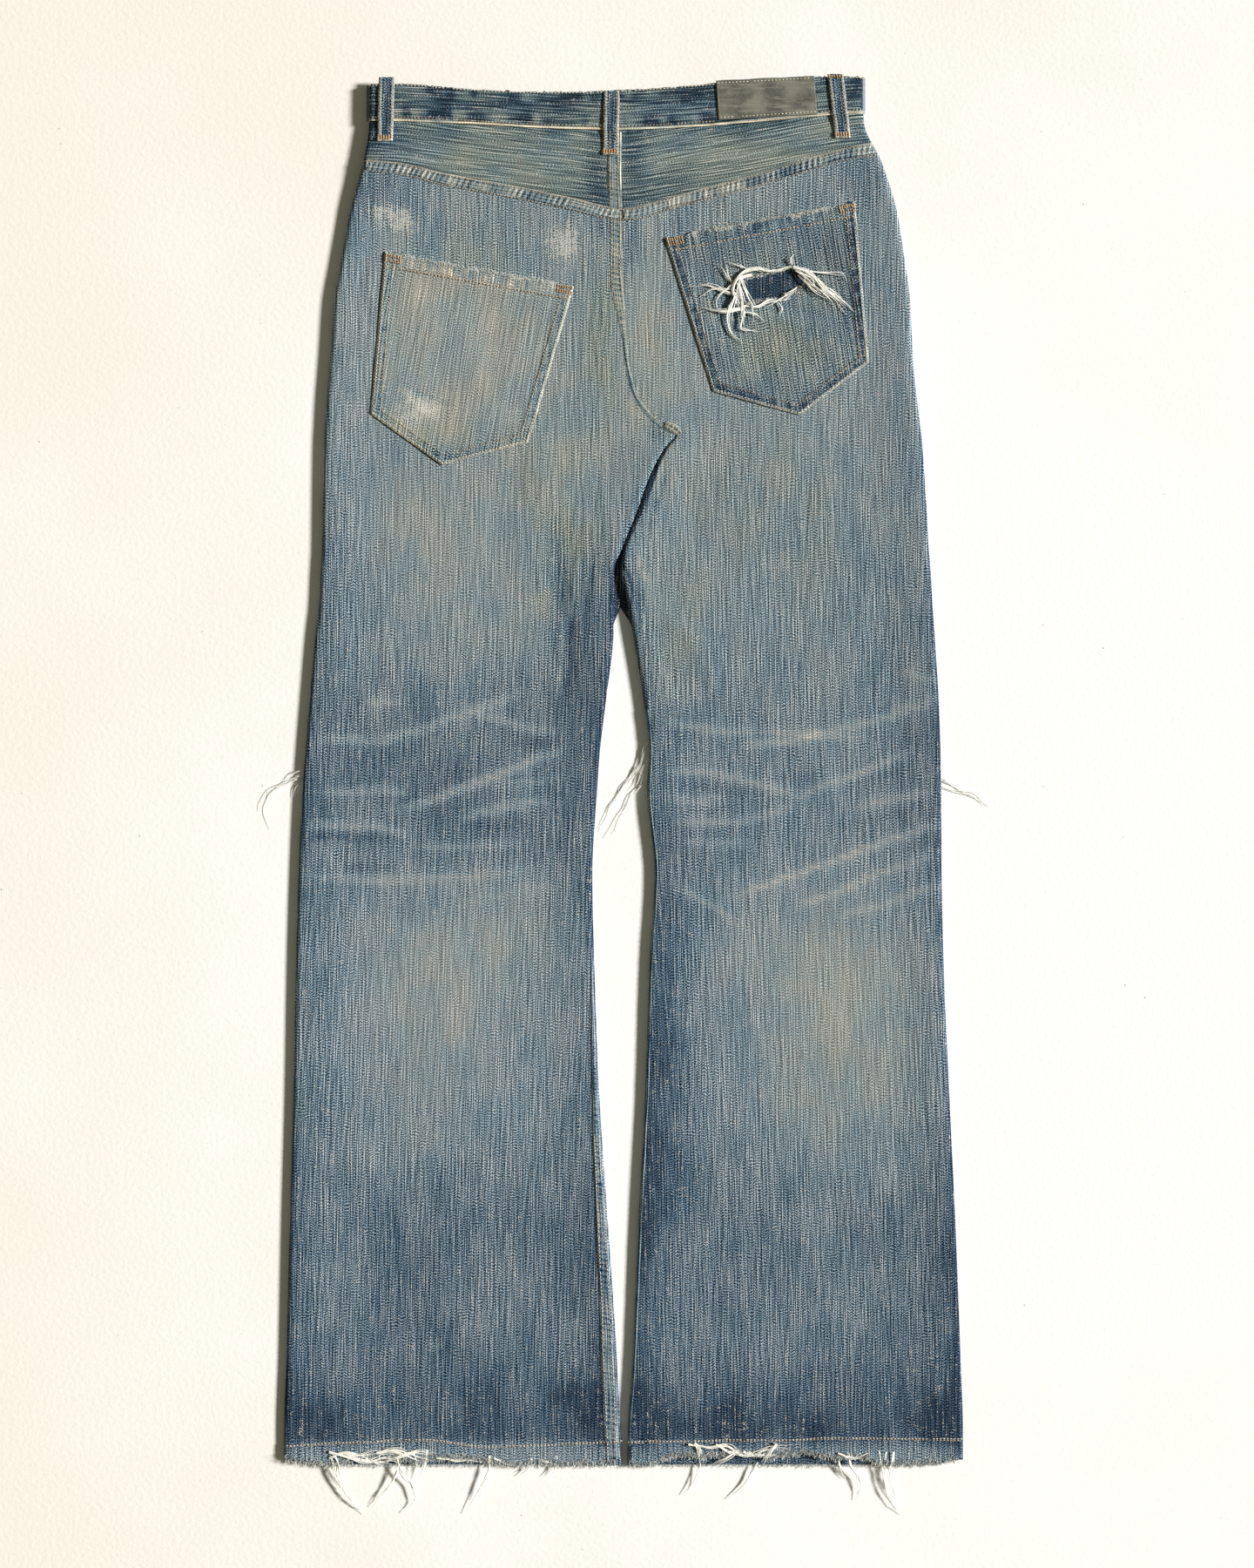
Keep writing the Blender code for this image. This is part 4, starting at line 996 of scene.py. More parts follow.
LAP_TIP, LAP_UNDER = 1.5, -42.0  # x of the buttonhole end, and of the button end behind it
BUTTON_X = -13.0
BAND_THICK = 2.2
BAND_WEAR = [
    (-170, 20, 18, 9, 0.18, 0.3, 0),
    (-150, 14, 60, 6, -0.08, 0, 0),
    (-60, 34, 60, 6, 0.16, 0.2, 0),
    (-110, 22, 30, 9, 0.04, 0, 0),
    (-205, 20, 16, 30, -0.12, 0, 0),
    (40, 30, 34, 7, 0.18, 0.1, 0),
    (60, 20, 20, 20, -0.05, 0, 0),
    (162, 24, 8, 20, 0.26, 0.3, 0),
    (188, 18, 10, 20, -0.16, 0, 0),
]


def band_places():
    """Side, arc length and lift of each column of the waistband, from its outer end to its inner one."""
    round_fold = np.linspace(-QUARTER, QUARTER, 13)

    def flat(side, first, last, pitch=2.2):
        places = np.linspace(first, last, int(abs(last - first) / pitch) + 2)
        return QUARTER - FOLD_RADIUS + abs(places - edge(side, "out", 20))

    left = [-flat("left", LAP_TIP, -199.5), round_fold[1:-1], flat("left", -199.5, 0)[:-1]]
    right = [flat("right", 0, 187), -round_fold[1:-1], -flat("right", 187, LAP_UNDER)]
    sides = np.array(["left"] * sum(map(len, left)) + ["right"] * sum(map(len, right)))
    return sides, np.concatenate(left + right)


def band_skin(sides, arcs):
    """x, height and lines of the top and the seam at each column of the waistband."""
    inward = np.where(sides == "left", 1.0, -1.0)
    angle = np.minimum(1, abs(arcs) / QUARTER) * math.pi / 2
    inset = FOLD_RADIUS * (1 - np.cos(angle)) + np.maximum(0, abs(arcs) - QUARTER)
    x = np.where(sides == "left", edge("left", "out", 20), edge("right", "out", 20)) + inward * inset
    half = (BAND_TOP - BAND_BOTTOM) / 2
    height = np.where(arcs > 0, BAND_TOP, BAND_BOTTOM) - np.sign(arcs) * half * (1 - np.sin(angle))
    under = (sides == "right") & (arcs < 0)
    height = height + np.where(under, (BAND_THICK + 0.4) * (1 - smooth(x, 6, 30)), 0)
    dip = np.where(arcs < 0, front_dip(x), 0)
    return x, height, curve(WAIST_LINES, BAND_LINE, x) + dip, curve(WAIST_LINES, BAND_SEAM, x) + dip


def band_outward(arcs):
    """1 on the back of the waistband and -1 on its front, turning over at the folds."""
    return np.where(arcs > 0, 1.0, -1.0) * smooth(abs(arcs), 0, QUARTER)


def in_buttonhole(x, drop):
    """How far inside the lap's buttonhole a place of the waistband lies."""
    from_slot = np.hypot(np.maximum(abs(x - BUTTON_X) - 7, 0), drop - (top + seam) / 2)
    return np.where(arcs < 0, 1.6 - from_slot, -9)


sides, arcs = band_places()
x, height, top, seam = band_skin(sides, arcs)
share = [0, 0.015, 0.03, 0.07, *np.arange(14, 87, 8) / 100, 0.92, 0.95, 0.967, 0.984, 1.0]
along = np.concatenate([[0], np.cumsum(abs(np.diff(arcs)).clip(0, 5))])
x, arcs, along = (np.repeat(values[None, :], len(share), axis=0) for values in (x, arcs, along))
drop = top + (seam - top) * np.array(share)[:, None]
drop[0] += 0.5 * unevenness(along[0], 0, 4, 1, 40) + 0.4 * unevenness(along[0], 0, 1.8, 1, 41)
from_seam, from_top = seam - drop, drop - top
form = 0.30 * unevenness(along, drop, 34, 9, 42) + 0.35 * puckers(along, from_seam - 3, 4, 43)
form = form + 0.25 * puckers(along, from_top - 2, 3, 44) - 0.9 * np.exp(-from_top / 1.2)
form = form + 0.3 * hump(from_seam, 1.1) - 0.35 * hump(from_seam - 2.6, 0.9)
height = height + band_outward(arcs) * form
pale = 0.06 + 0.15 * unevenness(along, drop, 30, 2.0, 45) + 0.10 * unevenness(along, drop, 13, 9, 46)
pale = pale + 0.5 * puckers(along, from_seam - 6.5, 4, 43, 13) + 0.3 * puckers(along, from_top - 4, 4, 44, 12)
rope = hump(from_seam, 1.9, 4) * (0.9 + 0.1 * unevenness(along, 0, 8, 1, 47))
pale = pale - 0.12 * hump(from_seam - 3.2, 1.0)
pale = pale + rope * (1.38 - pale)
pale = pale + 0.4 * hump(from_top, 1.0) * (0.5 + 0.5 * unevenness(along, 0, 3, 1, 48))
missing = tear_out(x, drop, in_buttonhole)[2] & (sides[1:] == "left")
waistband = cloth_piece(
    "waistband_cloth", x, drop, height, along, drop - seam, worn(x, drop, pale + 0.06, 1.2, BAND_WEAR),
    cross_denim, thickness=BAND_THICK, missing=missing,
)
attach(waistband, "root")
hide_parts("waistband")

# ------------------------------------------------------------------ back pockets
# Patch pockets of the same denim, their edges turned under and sewn down with two rows, the top hemmed
# with one.  Their cut lies askew to the legs.  The right one is torn through, the left one worn thin.

# corners as x and drop: top left, top right, bottom right, tip, bottom left
POCKETS = {
    "left": np.array([(-191.5, 141.5), (-39.5, 168.5), (-76, 293.5), (-146, 312), (-203, 271)]),
    "right": np.array([(33, 130), (185.5, 101.5), (197, 229.5), (141, 272), (71.5, 253)]),
}
TIP_SHARE = {"left": 0.46, "right": 0.55}
GRAIN_TURN = {"left": 9.5, "right": -9.5}  # degrees
POCKET_PALE = {"left": 0.74, "right": 0.33}
POCKET_WEAR = {
    "left": [
        (-161, 268, 18, 11, 0.15, 0, 1),
        (-176, 285, 22, 9, 0.14, 0.9, 0.1),
        (-195, 272, 10, 6, 0.1, 0.4, 0),
        (-163, 172, 14, 22, 0.14, 0, 0),
        (-183, 160, 8, 12, -0.18, 0, 0),
        (-100, 285, 20, 9, -0.2, -0.2, 0),
        (-88, 272, 9, 9, 0.14, 0, 0.35),
        (-140, 300, 26, 9, -0.18, 0, 0),
        (-120, 215, 50, 40, 0.1, -0.3, 0),
        (-60, 190, 10, 20, -0.12, 0, 0),
        (-196, 262, 7, 10, -0.14, 0, 0),
    ],
    "right": [
        (66, 150, 18, 16, -0.1, -0.2, 0),
        (160, 140, 30, 16, -0.08, 0, 0),
        (58, 158, 6, 20, 0.16, 0, 0.2),
        (128, 212, 44, 22, 0.08, 0.6, 0),
        (80, 225, 10, 20, -0.12, 0, 0),
        (92, 240, 10, 8, 0.1, 0, 0.2),
        (182, 190, 8, 30, -0.14, 0, 0),
        (189, 225, 8, 8, 0.14, 0, 0.2),
        (70, 190, 8, 16, 0.14, 0, 0.1),
        (150, 170, 12, 14, 0.06, 0.2, 0),
    ],
}
POCKET_CREASES = {
    "left": [
        (-176, 248, -138, 264, 1, 2.6, -0.4, -0.16), (-178, 250, -150, 272, 3, 6, 0.5, 0.1),
        (-130, 180, -100, 280, 3, 12, 0.5, 0.03), (-90, 182, -104, 250, 0, 12, -0.4, -0.03),
        (-150, 160, -60, 178, -2, 9, 0.5, 0.05),
    ],
    "right": [
        (60, 150, 90, 240, 3, 10, 0.5, 0.03), (96, 190, 170, 200, -2, 9, 0.5, 0.04),
        (120, 205, 150, 250, 3, 12, 0.4, 0.03), (160, 120, 176, 170, 0, 10, -0.4, -0.04),
    ],
}
POCKET_WIDTH, POCKET_DEPTH = 150, 140  # for the spacing of its places
SIDE_TURNING_END, HEM_END = (8, 10), (10.5, 12)  # how far in from an edge the doubled cloth ends
POCKET_TEAR = (118, 168.5, 27, 10.0, -0.22, 60, 4)  # x, drop, half length, half height, slope, seed, power


def from_line(x, drop, start, end):
    """Distance to the right of a line, seen along it, in millimetres."""
    along_x, along_drop = end[0] - start[0], end[1] - start[1]
    return ((x - start[0]) * along_drop - (drop - start[1]) * along_x) / math.hypot(along_x, along_drop)


def finer_at_ends(length, pitch):
    """Shares along a length that stand closer together at both of its ends."""
    near = np.array([0, 0.5, 1.1, 1.8, 2.7, 3.8, 5.2, 7, 9])
    middle = np.linspace(9, length - 9, int((length - 18) / pitch) + 1)[1:-1]
    return np.concatenate([near, middle, (length - near)[::-1]]) / length


for side, corners in POCKETS.items():
    top_left, top_right, bottom_right, tip, bottom_left = corners
    foot = TIP_SHARE[side]
    u = finer_at_ends(POCKET_WIDTH, 1.5)[None, :, None]
    v = finer_at_ends(POCKET_DEPTH, 1.5)[:, None, None]
    upper = top_left + (top_right - top_left) * u
    left_foot = bottom_left + (tip - bottom_left) * (u / foot)
    right_foot = tip + (bottom_right - tip) * ((u - foot) / (1 - foot))
    lower = np.where(u < foot, left_foot, right_foot)
    places = upper + (lower - upper) * v
    x, drop = places[..., 0], places[..., 1]
    drop = drop + 1.1 * unevenness(x, 0, 8, 1, 58) * (1 - v[..., 0]) ** 14
    missing = None
    if side == "right":
        x, drop, missing = tear_out(x, drop, lambda x, drop: slit(x, drop, *POCKET_TEAR))
    ring = [top_left, bottom_left, tip, bottom_right, top_right]
    ends = list(zip(ring, ring[1:] + ring[:1]))
    edges = np.array([abs(from_line(x, drop, a, b)) for a, b in ends])
    alongs = [((x - a[0]) * (b - a)[0] + (drop - a[1]) * (b - a)[1]) / np.hypot(*(b - a)) for a, b in ends]
    along = np.take_along_axis(np.array(alongs), edges.argmin(axis=0)[None], axis=0)[0]
    from_top, from_edge = edges[4], np.minimum.reduce(edges[:4])
    relief, paler = crease_form(POCKET_CREASES[side], x, drop)
    turned = np.maximum(1 - smooth(from_edge, *SIDE_TURNING_END), 1 - smooth(from_top, *HEM_END))
    roping = 0.5 * rungs(along, 51) + 0.8 * rungs(along + 0.4 * from_edge, 58, 13.0)
    roping = roping * hump(from_edge - 5.2, 2.6, 4) * smooth(from_top, 4, 13)
    in_hem = hump(from_top - 5.6, 4.4, 4)
    roping = roping + (0.7 * rungs(x, 52, 7.5) + 0.7 * unevenness(x, drop, 7, 6, 57)) * in_hem
    roping = roping * (0.75 + 0.5 * unevenness(x, drop, 26, 26, 56))
    height = back_height(side, x, drop) + 1.0 + 0.45 * turned + 0.22 * roping + relief
    height = height - 0.7 * np.exp(-np.minimum(from_edge, from_top) / 0.45)
    height = height + 0.25 * unevenness(x, drop, 22, 30, 53) + 0.5 * hump(from_top, 6)
    turn = math.radians(GRAIN_TURN[side])
    warp = drop * math.cos(turn) - x * math.sin(turn)
    grain = x * math.cos(turn) + drop * math.sin(turn)
    pale = POCKET_PALE[side] + paler + 0.42 * roping - 0.13 * turned * smooth(from_top, 8, 13)
    pale = pale - 0.12 * hump(from_edge - 3.2, 1.6)
    ragged = smooth(unevenness(x, 0, 7, 1, 54), -0.2, 0.7) * smooth(from_edge, 6, 22)
    rope = (0.84 + 0.16 * unevenness(along, 0, 8, 1, 55)) * hump(from_edge - 0.5, 1.15)
    pale = pale + rope * (1.22 - pale)
    white = (0.35 + 0.9 * ragged) * hump(from_top, 1.4 + 2.0 * ragged)
    if side == "right":
        white = white + 0.85 * smooth(slit(x, drop, *POCKET_TEAR), -4.0, -0.5)
    layers = worn(x, drop, pale, 0.7, POCKET_WEAR[side], white)
    pocket = cloth_piece(
        f"{side}_back_pocket", x, drop, height, warp, grain, layers, worn_denim, missing=missing
    )
    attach(pocket, "root")
    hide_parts(f"back_pocket_{side}")

# ------------------------------------------------------------------ belt loops
# Narrow strips of denim, 12.6 mm wide, with both edges folded in and sewn along, tacked down at the waist
# and below the band.  The edges have worn to the white.

LOOP_HALF = 6.3
LOOP_LENGTH = 51.0
# name, x and drop of the upper end, how far the lower end is set sideways, and the face
LOOPS = [
    ("back_left", -189.5, 2, -1.5, True),
    ("back_centre", -9.5, 12.8, -1.0, True),
    ("back_right", 169.5, -0.5, 6.0, True),
    ("front_left", -105, 15, 0, False),
    ("front_right", 105, 9, 0, False),
]


def loop_place(loop, share, off):
    """x, drop and height of a place on a belt loop's outer face, off its middle line."""
    _, at_x, at_drop, sideways, on_back = loop
    drop = at_drop + (0 if on_back else front_dip(at_x)) + LOOP_LENGTH * share + 0 * off
    x = at_x + sideways * share + off
    side = "left" if at_x < 0 else "right"
    stand = 1.25 + 0.5 * np.sin(math.pi * share)
    if on_back:
        seam = curve(WAIST_LINES, BAND_SEAM, x)
        below = back_height(side, x, np.maximum(drop, seam + 1))
        return x, drop, below + (BAND_TOP - below) * (1 - smooth(drop, seam - 2, seam + 5)) + stand
    return x, drop, np.minimum(BAND_BOTTOM, front_height(drop)) - stand


for loop in LOOPS:
    share = np.linspace(0, 1, 30)[:, None]
    off = np.array([0.25, 0.5, 0.72, 0.84, 0.93, 1])
    off = np.concatenate([-off[::-1], [0], off])[None, :] * LOOP_HALF
    x, drop, height = loop_place(loop, share, off + 0.25 * unevenness(share * 50, off > 0, 7, 1, 61))
    outward = 1 if loop[4] else -1
    ridge = 0.3 * hump(abs(off) - 5.2, 1.0) - 0.6 * np.exp(-(LOOP_HALF - abs(off)) / 0.5)
    end = 0.5 * (1 - smooth(share, 0, 0.05)) + 0.5 * smooth(share, 0.9, 0.95)
    height = height + outward * (ridge + 0.2 * unevenness(drop, off, 6, 5, 62) + 0.5 * end)
    pale = 0.26 + 0.14 * unevenness(drop, off, 11, 4, 63) + 0.2 * end - 0.2 * hump(abs(off), 3)
    rope = hump(LOOP_HALF - abs(off), 2.3, 4) * (0.85 + 0.15 * np.cos(drop * 2.6))
    rope = rope + smooth(share, 0.925, 0.94)
    pale = pale + 0.85 * rope.clip(0, 1) * (1.2 - pale)
    piece = cloth_piece(
        f"belt_loop_cloth_{loop[0]}", x, drop, height, drop, off, worn(x, drop, pale, 0.5, []), worn_denim,
        flip=not loop[4],
    )
    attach(piece, "root")
    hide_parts(f"belt_loop_{loop[0]}")

# ------------------------------------------------------------------ waist patch
# A bare patch of grey-green suede on the waistband, sewn along its top and bottom, scuffed and a little
# rippled by washing.

# corners as x and drop: top left, top right, bottom right, bottom left
PATCH = np.array([(74, 5), (152.5, 0.8), (155, 31.5), (76, 36.3)])
PATCH_WIDTH, PATCH_DEPTH = 79, 31.5


def make_suede():
    """Split suede: a short uneven nap, darker where it has been rubbed, with a few pale scuffs."""
    material, tree, shader = new_material("suede", 0.95)
    place = node(tree, "ShaderNodeTexCoord").outputs["Object"]
    nap = noise(tree, place, 900.0, 4.0)
    rubbed = noise(tree, place, 70.0, 3.0)
    long_way = node(tree, "ShaderNodeMapping", {"Vector": place, "Scale": (60.0, 420.0, 60.0)}).outputs[0]
    scuff = noise(tree, long_way, 1.0, 3.0)
    tone = colour_mix(tree, remap(tree, rubbed, 0.34, 0.66), (0.058, 0.060, 0.049), (0.178, 0.177, 0.140))
    tone = colour_mix(tree, remap(tree, scuff, 0.5, 0.72, 0.0, 0.6), tone, (0.26, 0.25, 0.20))
    tone = colour_mix(tree, remap(tree, nap, 0.35, 0.7, 0.0, 0.35), tone, (0.22, 0.215, 0.175))
    shader.inputs["Sheen Weight"].default_value = 0.25
    dress(tree, shader, tone, nap, 0.4, 0.0005)
    return material


u, v = finer_at_ends(PATCH_WIDTH, 2.4)[None, :, None], finer_at_ends(PATCH_DEPTH, 2.4)[:, None, None]
upper = PATCH[0] + (PATCH[1] - PATCH[0]) * u
lower = PATCH[3] + (PATCH[2] - PATCH[3]) * u
places = upper + (lower - upper) * v
x, drop = places[..., 0], places[..., 1]
near = np.minimum(np.minimum(u, 1 - u)[..., 0] * PATCH_WIDTH, np.minimum(v, 1 - v)[..., 0] * PATCH_DEPTH)
drop = drop + 0.5 * unevenness(x, 0, 16, 1, 70) * (1 - v[..., 0])
height = BAND_TOP + 1.6 + 0.35 * unevenness(x, drop, 15, 12, 71) - 0.6 * np.exp(-near / 0.6)
height = height - 0.3 * hump(near - 1.8, 0.9)
unworn = worn(x, drop, 0, 0, [])
patch = cloth_piece("suede_patch", x, drop, height, drop, x, unworn, make_suede(), thickness=1.0)
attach(patch, "root")
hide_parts("waist_patch")

# ------------------------------------------------------------------ waist button
# A tack button of copper-coloured brass with a rolled rim and a plain dished face.  Its shank comes up
# through the button end and the buttonhole; it lies face down under the front.


def make_button_metal():
    """Copper-plated brass, brown in its hollows and brighter where it has rubbed."""
    material, tree, shader = new_material("button metal", 0.42)
    shader.inputs["Metallic"].default_value = 1.0
    place = node(tree, "ShaderNodeTexCoord").outputs["Object"]
    stain = noise(tree, place, 420.0, 4.0)
    tone = colour_mix(tree, remap(tree, stain, 0.4, 0.65), (0.46, 0.30, 0.17), (0.22, 0.14, 0.09))
    tree.links.new(remap(tree, stain, 0.35, 0.7, 0.32, 0.6), shader.inputs["Roughness"])
    dress(tree, shader, tone, stain, 0.3, 0.0002)
    return material


button_low, button_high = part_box("waist_button")
middle_x, middle_y = (button_low.x + button_high.x) / 2, (button_low.y + button_high.y) / 2
BUTTON_SIDES = 48
# radius and height from the dished face to the end of the shank
profile = [(0, 0.9), (3.6, 0.85), (5.4, 0.7), (6.0, 0.3), (6.6, 0.08), (7.3, 0.0), (8.0, 0.2), (8.4, 0.7)]
profile += [(8.5, 1.3), (8.3, 2.0), (7.6, 2.45), (6.0, 2.65), (2.6, 2.7), (2.4, 3.2), (2.4, 5.0), (2.0, 5.25)]
profile += [(0, 5.3)]
shape = bmesh.new()
rings = []
for radius, height in profile:
    count = 1 if radius == 0 else BUTTON_SIDES
    turns = [2 * math.pi * k / count for k in range(count)]
    around = [(radius * MM * math.cos(t), radius * MM * math.sin(t)) for t in turns]
    rings.append([shape.verts.new((middle_x + a, middle_y + b, height * MM)) for a, b in around])
for lower_ring, upper_ring in zip(rings, rings[1:]):
    for k in range(BUTTON_SIDES):
        corners = [lower_ring[k % len(lower_ring)], lower_ring[(k + 1) % len(lower_ring)]]
        corners += [upper_ring[(k + 1) % len(upper_ring)], upper_ring[k % len(upper_ring)]]
        shape.faces.new(list(dict.fromkeys(corners))).smooth = True
bmesh.ops.recalc_face_normals(shape, faces=shape.faces)
button_mesh = bpy.data.meshes.new("tack_button")
shape.to_mesh(button_mesh)
shape.free()
button_mesh.materials.append(make_button_metal())
button = bpy.data.objects.new("tack_button", button_mesh)
scene.collection.objects.link(button)
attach(button, "root")
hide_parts("waist_button")

# ------------------------------------------------------------------ felled seams
# At the yoke, the seat and the left inner leg both layers are turned into each other and sewn down flat
# with two rows, which leaves a narrow raised band.  The thread has shrunk more than the cloth, so the band
# ropes and wears in pale and dark bars.


def route(points, pitch):
    """Each column of the given points, every pitch millimetres along a smooth line through them."""
    points = np.array(points, float)
    at = np.concatenate([[0], np.cumsum(np.hypot(*np.diff(points[:, :2], axis=0).T))])
    table = np.column_stack([at, points])
    steps = np.linspace(0, at[-1], max(2, int(at[-1] / pitch) + 1))
    return [curve(table, k, steps) for k in range(1, table.shape[1])]


def beside(x, drop, distance):
    """A line moved to its right, seen along it."""
    along_x, along_drop = np.gradient(x), np.gradient(drop)
    size = np.hypot(along_x, along_drop)
    return x - distance * along_drop / size, drop + distance * along_x / size


def back_anywhere(x, drop):
    """The back's height on whichever leg a place is."""
    on_left = x < (edge("left", "in", drop) + edge("right", "in", drop)) / 2
    return np.where(on_left, back_height("left", x, drop), back_height("right", x, drop))


def add_band(name, x, drop, width, rise, pale, soil, seed, rests_on, worn_edges, bars):
    """A raised band whose middle line is given; it sinks into the cloth at its edges.

    rise is its height over the cloth, pale and soil its wear, worn_edges how white its two edges are, and
    bars how strongly pale and dark bars alternate along it.
    """
    off = np.array([-1, -0.94, -0.86, -0.7, -0.35, 0, 0.35, 0.7, 0.86, 0.94, 1]) / 2
    width = np.broadcast_to(width, x.shape)
    sides = [beside(x, drop, share * width) for share in off]
    across_x, across_drop = (np.stack([pair[k] for pair in sides], axis=1) for k in (0, 1))
    along = np.cumsum(np.hypot(np.gradient(x), np.gradient(drop)))[:, None] + 0 * off
    off = off[None, :] * width[:, None]
    in_from_edge = width[:, None] / 2 - abs(off)
    roping = rungs(along + 0.3 * off, seed) * hump(in_from_edge - 3.6, 2.4)
    roping = roping + 0.35 * puckers(along, in_from_edge - 3, 5, seed + 2, 14)
    height = back_anywhere(across_x, across_drop) + rise + 0.25 * roping
    height = height - (rise + 0.1) * np.exp(-in_from_edge / 0.5)
    rubbed = np.where(off < 0, *worn_edges) * hump(in_from_edge - 0.3, 1.1)
    rubbed = rubbed * (0.85 + 0.15 * unevenness(along, 0, 6, 1, seed + 3))
    tone = pale + 1.5 * bars * roping - 0.34 * hump(in_from_edge - 1.5, 0.6)
    layers = worn(across_x, across_drop, tone + rubbed * (1.35 - tone), soil, [])
    band = cloth_piece(
        name, across_x, across_drop, height, along, off, layers, cross_denim, thickness=0.8, flip=True
    )
    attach(band, "root")
    return x, drop


SEAT_SEAM = [(-1, 108), (-1, 150), (0.5, 178), (4, 226), (9.5, 250), (19, 267), (31, 278), (41, 284)]
bands = {}
for side, first, last, seed in (("left", -206, -3, 80), ("right", -0.6, 200, 81)):
    x = np.arange(first, last, 1.1)
    line = beside(x, curve(WAIST_LINES, YOKE_SEAM, x), 4.8)
    bands[f"yoke_{side}"] = add_band(
        f"{side}_yoke_seam", *line, 10.0, rise=0.5, pale=0.64, soil=0.6, seed=seed,
        rests_on=[f"{side}_leg_back"], worn_edges=(0.8, 0.0), bars=0.66,
    )
# the seat's band sinks away below the yokes and leaves only its rope, which runs on into the fork
x, drop = route(SEAT_SEAM, 1.2)
width = 10.0 - 6.0 * smooth(drop, 168, 214)
bands["seat"] = add_band(
    "seat_seam", *beside(x, drop, width / 2), width, rise=0.3, pale=0.62, soil=1.1, seed=82,
    rests_on=["left_leg_back"], worn_edges=(0.7, 0.0), bars=0.34,
)
line = beside(*route([(-1.5, 46), (-1.8, 76), (-0.8, 106)], 1.2), 5.8)
bands["yoke_middle"] = add_band(
    "yoke_middle_seam", *line, 11.6, rise=0.4, pale=0.50, soil=0.8, seed=83,
    rests_on=["left_yoke"], worn_edges=(1.0, 0.0), bars=0.3,
)
# the knot where the four seams meet
line = route([(33, 279.5), (38, 281.5), (42.5, 284.5), (45, 287)], 0.8)
width = 3.2 + 4.8 * np.sin(math.pi * np.linspace(0.12, 0.92, len(line[0]))) ** 0.7
bands["fork"] = add_band(
    "fork_tack", *line, width, rise=1.0, pale=0.78, soil=1.5, seed=86,
    rests_on=["right_leg_back"], worn_edges=(0.3, 0.1), bars=0.4,
)
# the left inner leg seam comes into sight where the leg has rolled
drop = np.arange(700, 1109, 1.6)
width = curve(np.array([(700, 1.2), (780, 3.5), (900, 8), (970, 10), (1041, 12.4), (1109, 12.4)]), 1, drop)
x = edge("left", "in", drop) - 1.2 - width / 2
bands["inseam"] = add_band(
    "left_inner_leg_seam", x, drop, width, rise=0.8, pale=0.42, soil=0.0, seed=84,
    rests_on=["left_leg_back", "left_leg_front"], worn_edges=(0.18, 0.3), bars=0.42,
)
# on the right leg only its pale rope shows along the fold
drop = np.arange(508, 1104, 1.6)
x = edge("right", "in", drop) + 1.5
add_band(
    "right_inner_leg_seam", x, drop, 2.6, rise=0.5, pale=0.26, soil=0.0, seed=85,
    rests_on=["right_leg_back", "right_leg_front"], worn_edges=(0.24, 0.24), bars=0.4,
)

# ------------------------------------------------------------------ stitching
# Lockstitch in cotton thread, about 3 mm long: cream and tan along the seams and hems, gold along the
# pocket tops, rust in the bartacks.  Washing has faded it, and a stitch is missing here and there.

STITCH_PITCH, TACK_PITCH, STITCH_RADIUS = 2.8, 1.9, 0.5


def shown_surface():
    """The faces of all the pieces that show so far, to lay things on."""
    points, faces = [], []
    for piece in scene.objects:
        if "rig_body" in piece and piece.type == "MESH" and not piece.hide_render:
            start = len(points)
            points += [vertex.co.copy() for vertex in piece.data.vertices]
            faces += [[start + k for k in face.vertices] for face in piece.data.polygons]
    return BVHTree.FromPolygons(points, faces)


def laid_on(surface, x, drop, stand=0.0, from_below=False):
    """Places (x, drop, height) that lie that far off a surface."""
    height, towards = (-0.05, 1) if from_below else (0.05, -1)
    places = []
    for at_x, at_drop in zip(x, drop):
        start = Vector((at_x * MM, (LENGTH / 2 - at_drop) * MM, height))
        hit = surface.ray_cast(start, Vector((0, 0, towards)))[0]
        level = hit.z / MM if hit else (places[-1][2] + towards * stand if places else 2.0)
        places.append((at_x, at_drop, level - towards * stand))
    return np.array(places)


def lines_mesh(name, lines):
    """A mesh of open lines through places (x, drop, height), for a node tree to follow."""
    points = np.concatenate(lines)
    starts = np.cumsum([0] + [len(line) for line in lines])
    pairs = [(k, k + 1) for a, b in zip(starts, starts[1:]) for k in range(a, b - 1)]
    mesh = bpy.data.meshes.new(name)
    at = np.column_stack([points[:, 0], LENGTH / 2 - points[:, 1], points[:, 2]]) * MM
    mesh.from_pydata(at.tolist(), pairs, [])
    made = bpy.data.objects.new(name, mesh)
    scene.collection.objects.link(made)
    return made


def new_tree(name, **inputs):
    """A geometry tree with named inputs, and its group input node."""
    tree = bpy.data.node_groups.new(name, "GeometryNodeTree")
    tree.interface.new_socket("Geometry", in_out="INPUT", socket_type="NodeSocketGeometry")
    tree.interface.new_socket("Geometry", in_out="OUTPUT", socket_type="NodeSocketGeometry")
    kinds = {float: "NodeSocketFloat", int: "NodeSocketInt"}
    for title, value in inputs.items():
        kind = kinds.get(type(value), "NodeSocketMaterial")
        socket = tree.interface.new_socket(title, in_out="INPUT", socket_type=kind)
        if kind != "NodeSocketMaterial":
            socket.default_value = value
    return tree, tree.nodes.new("NodeGroupInput").outputs


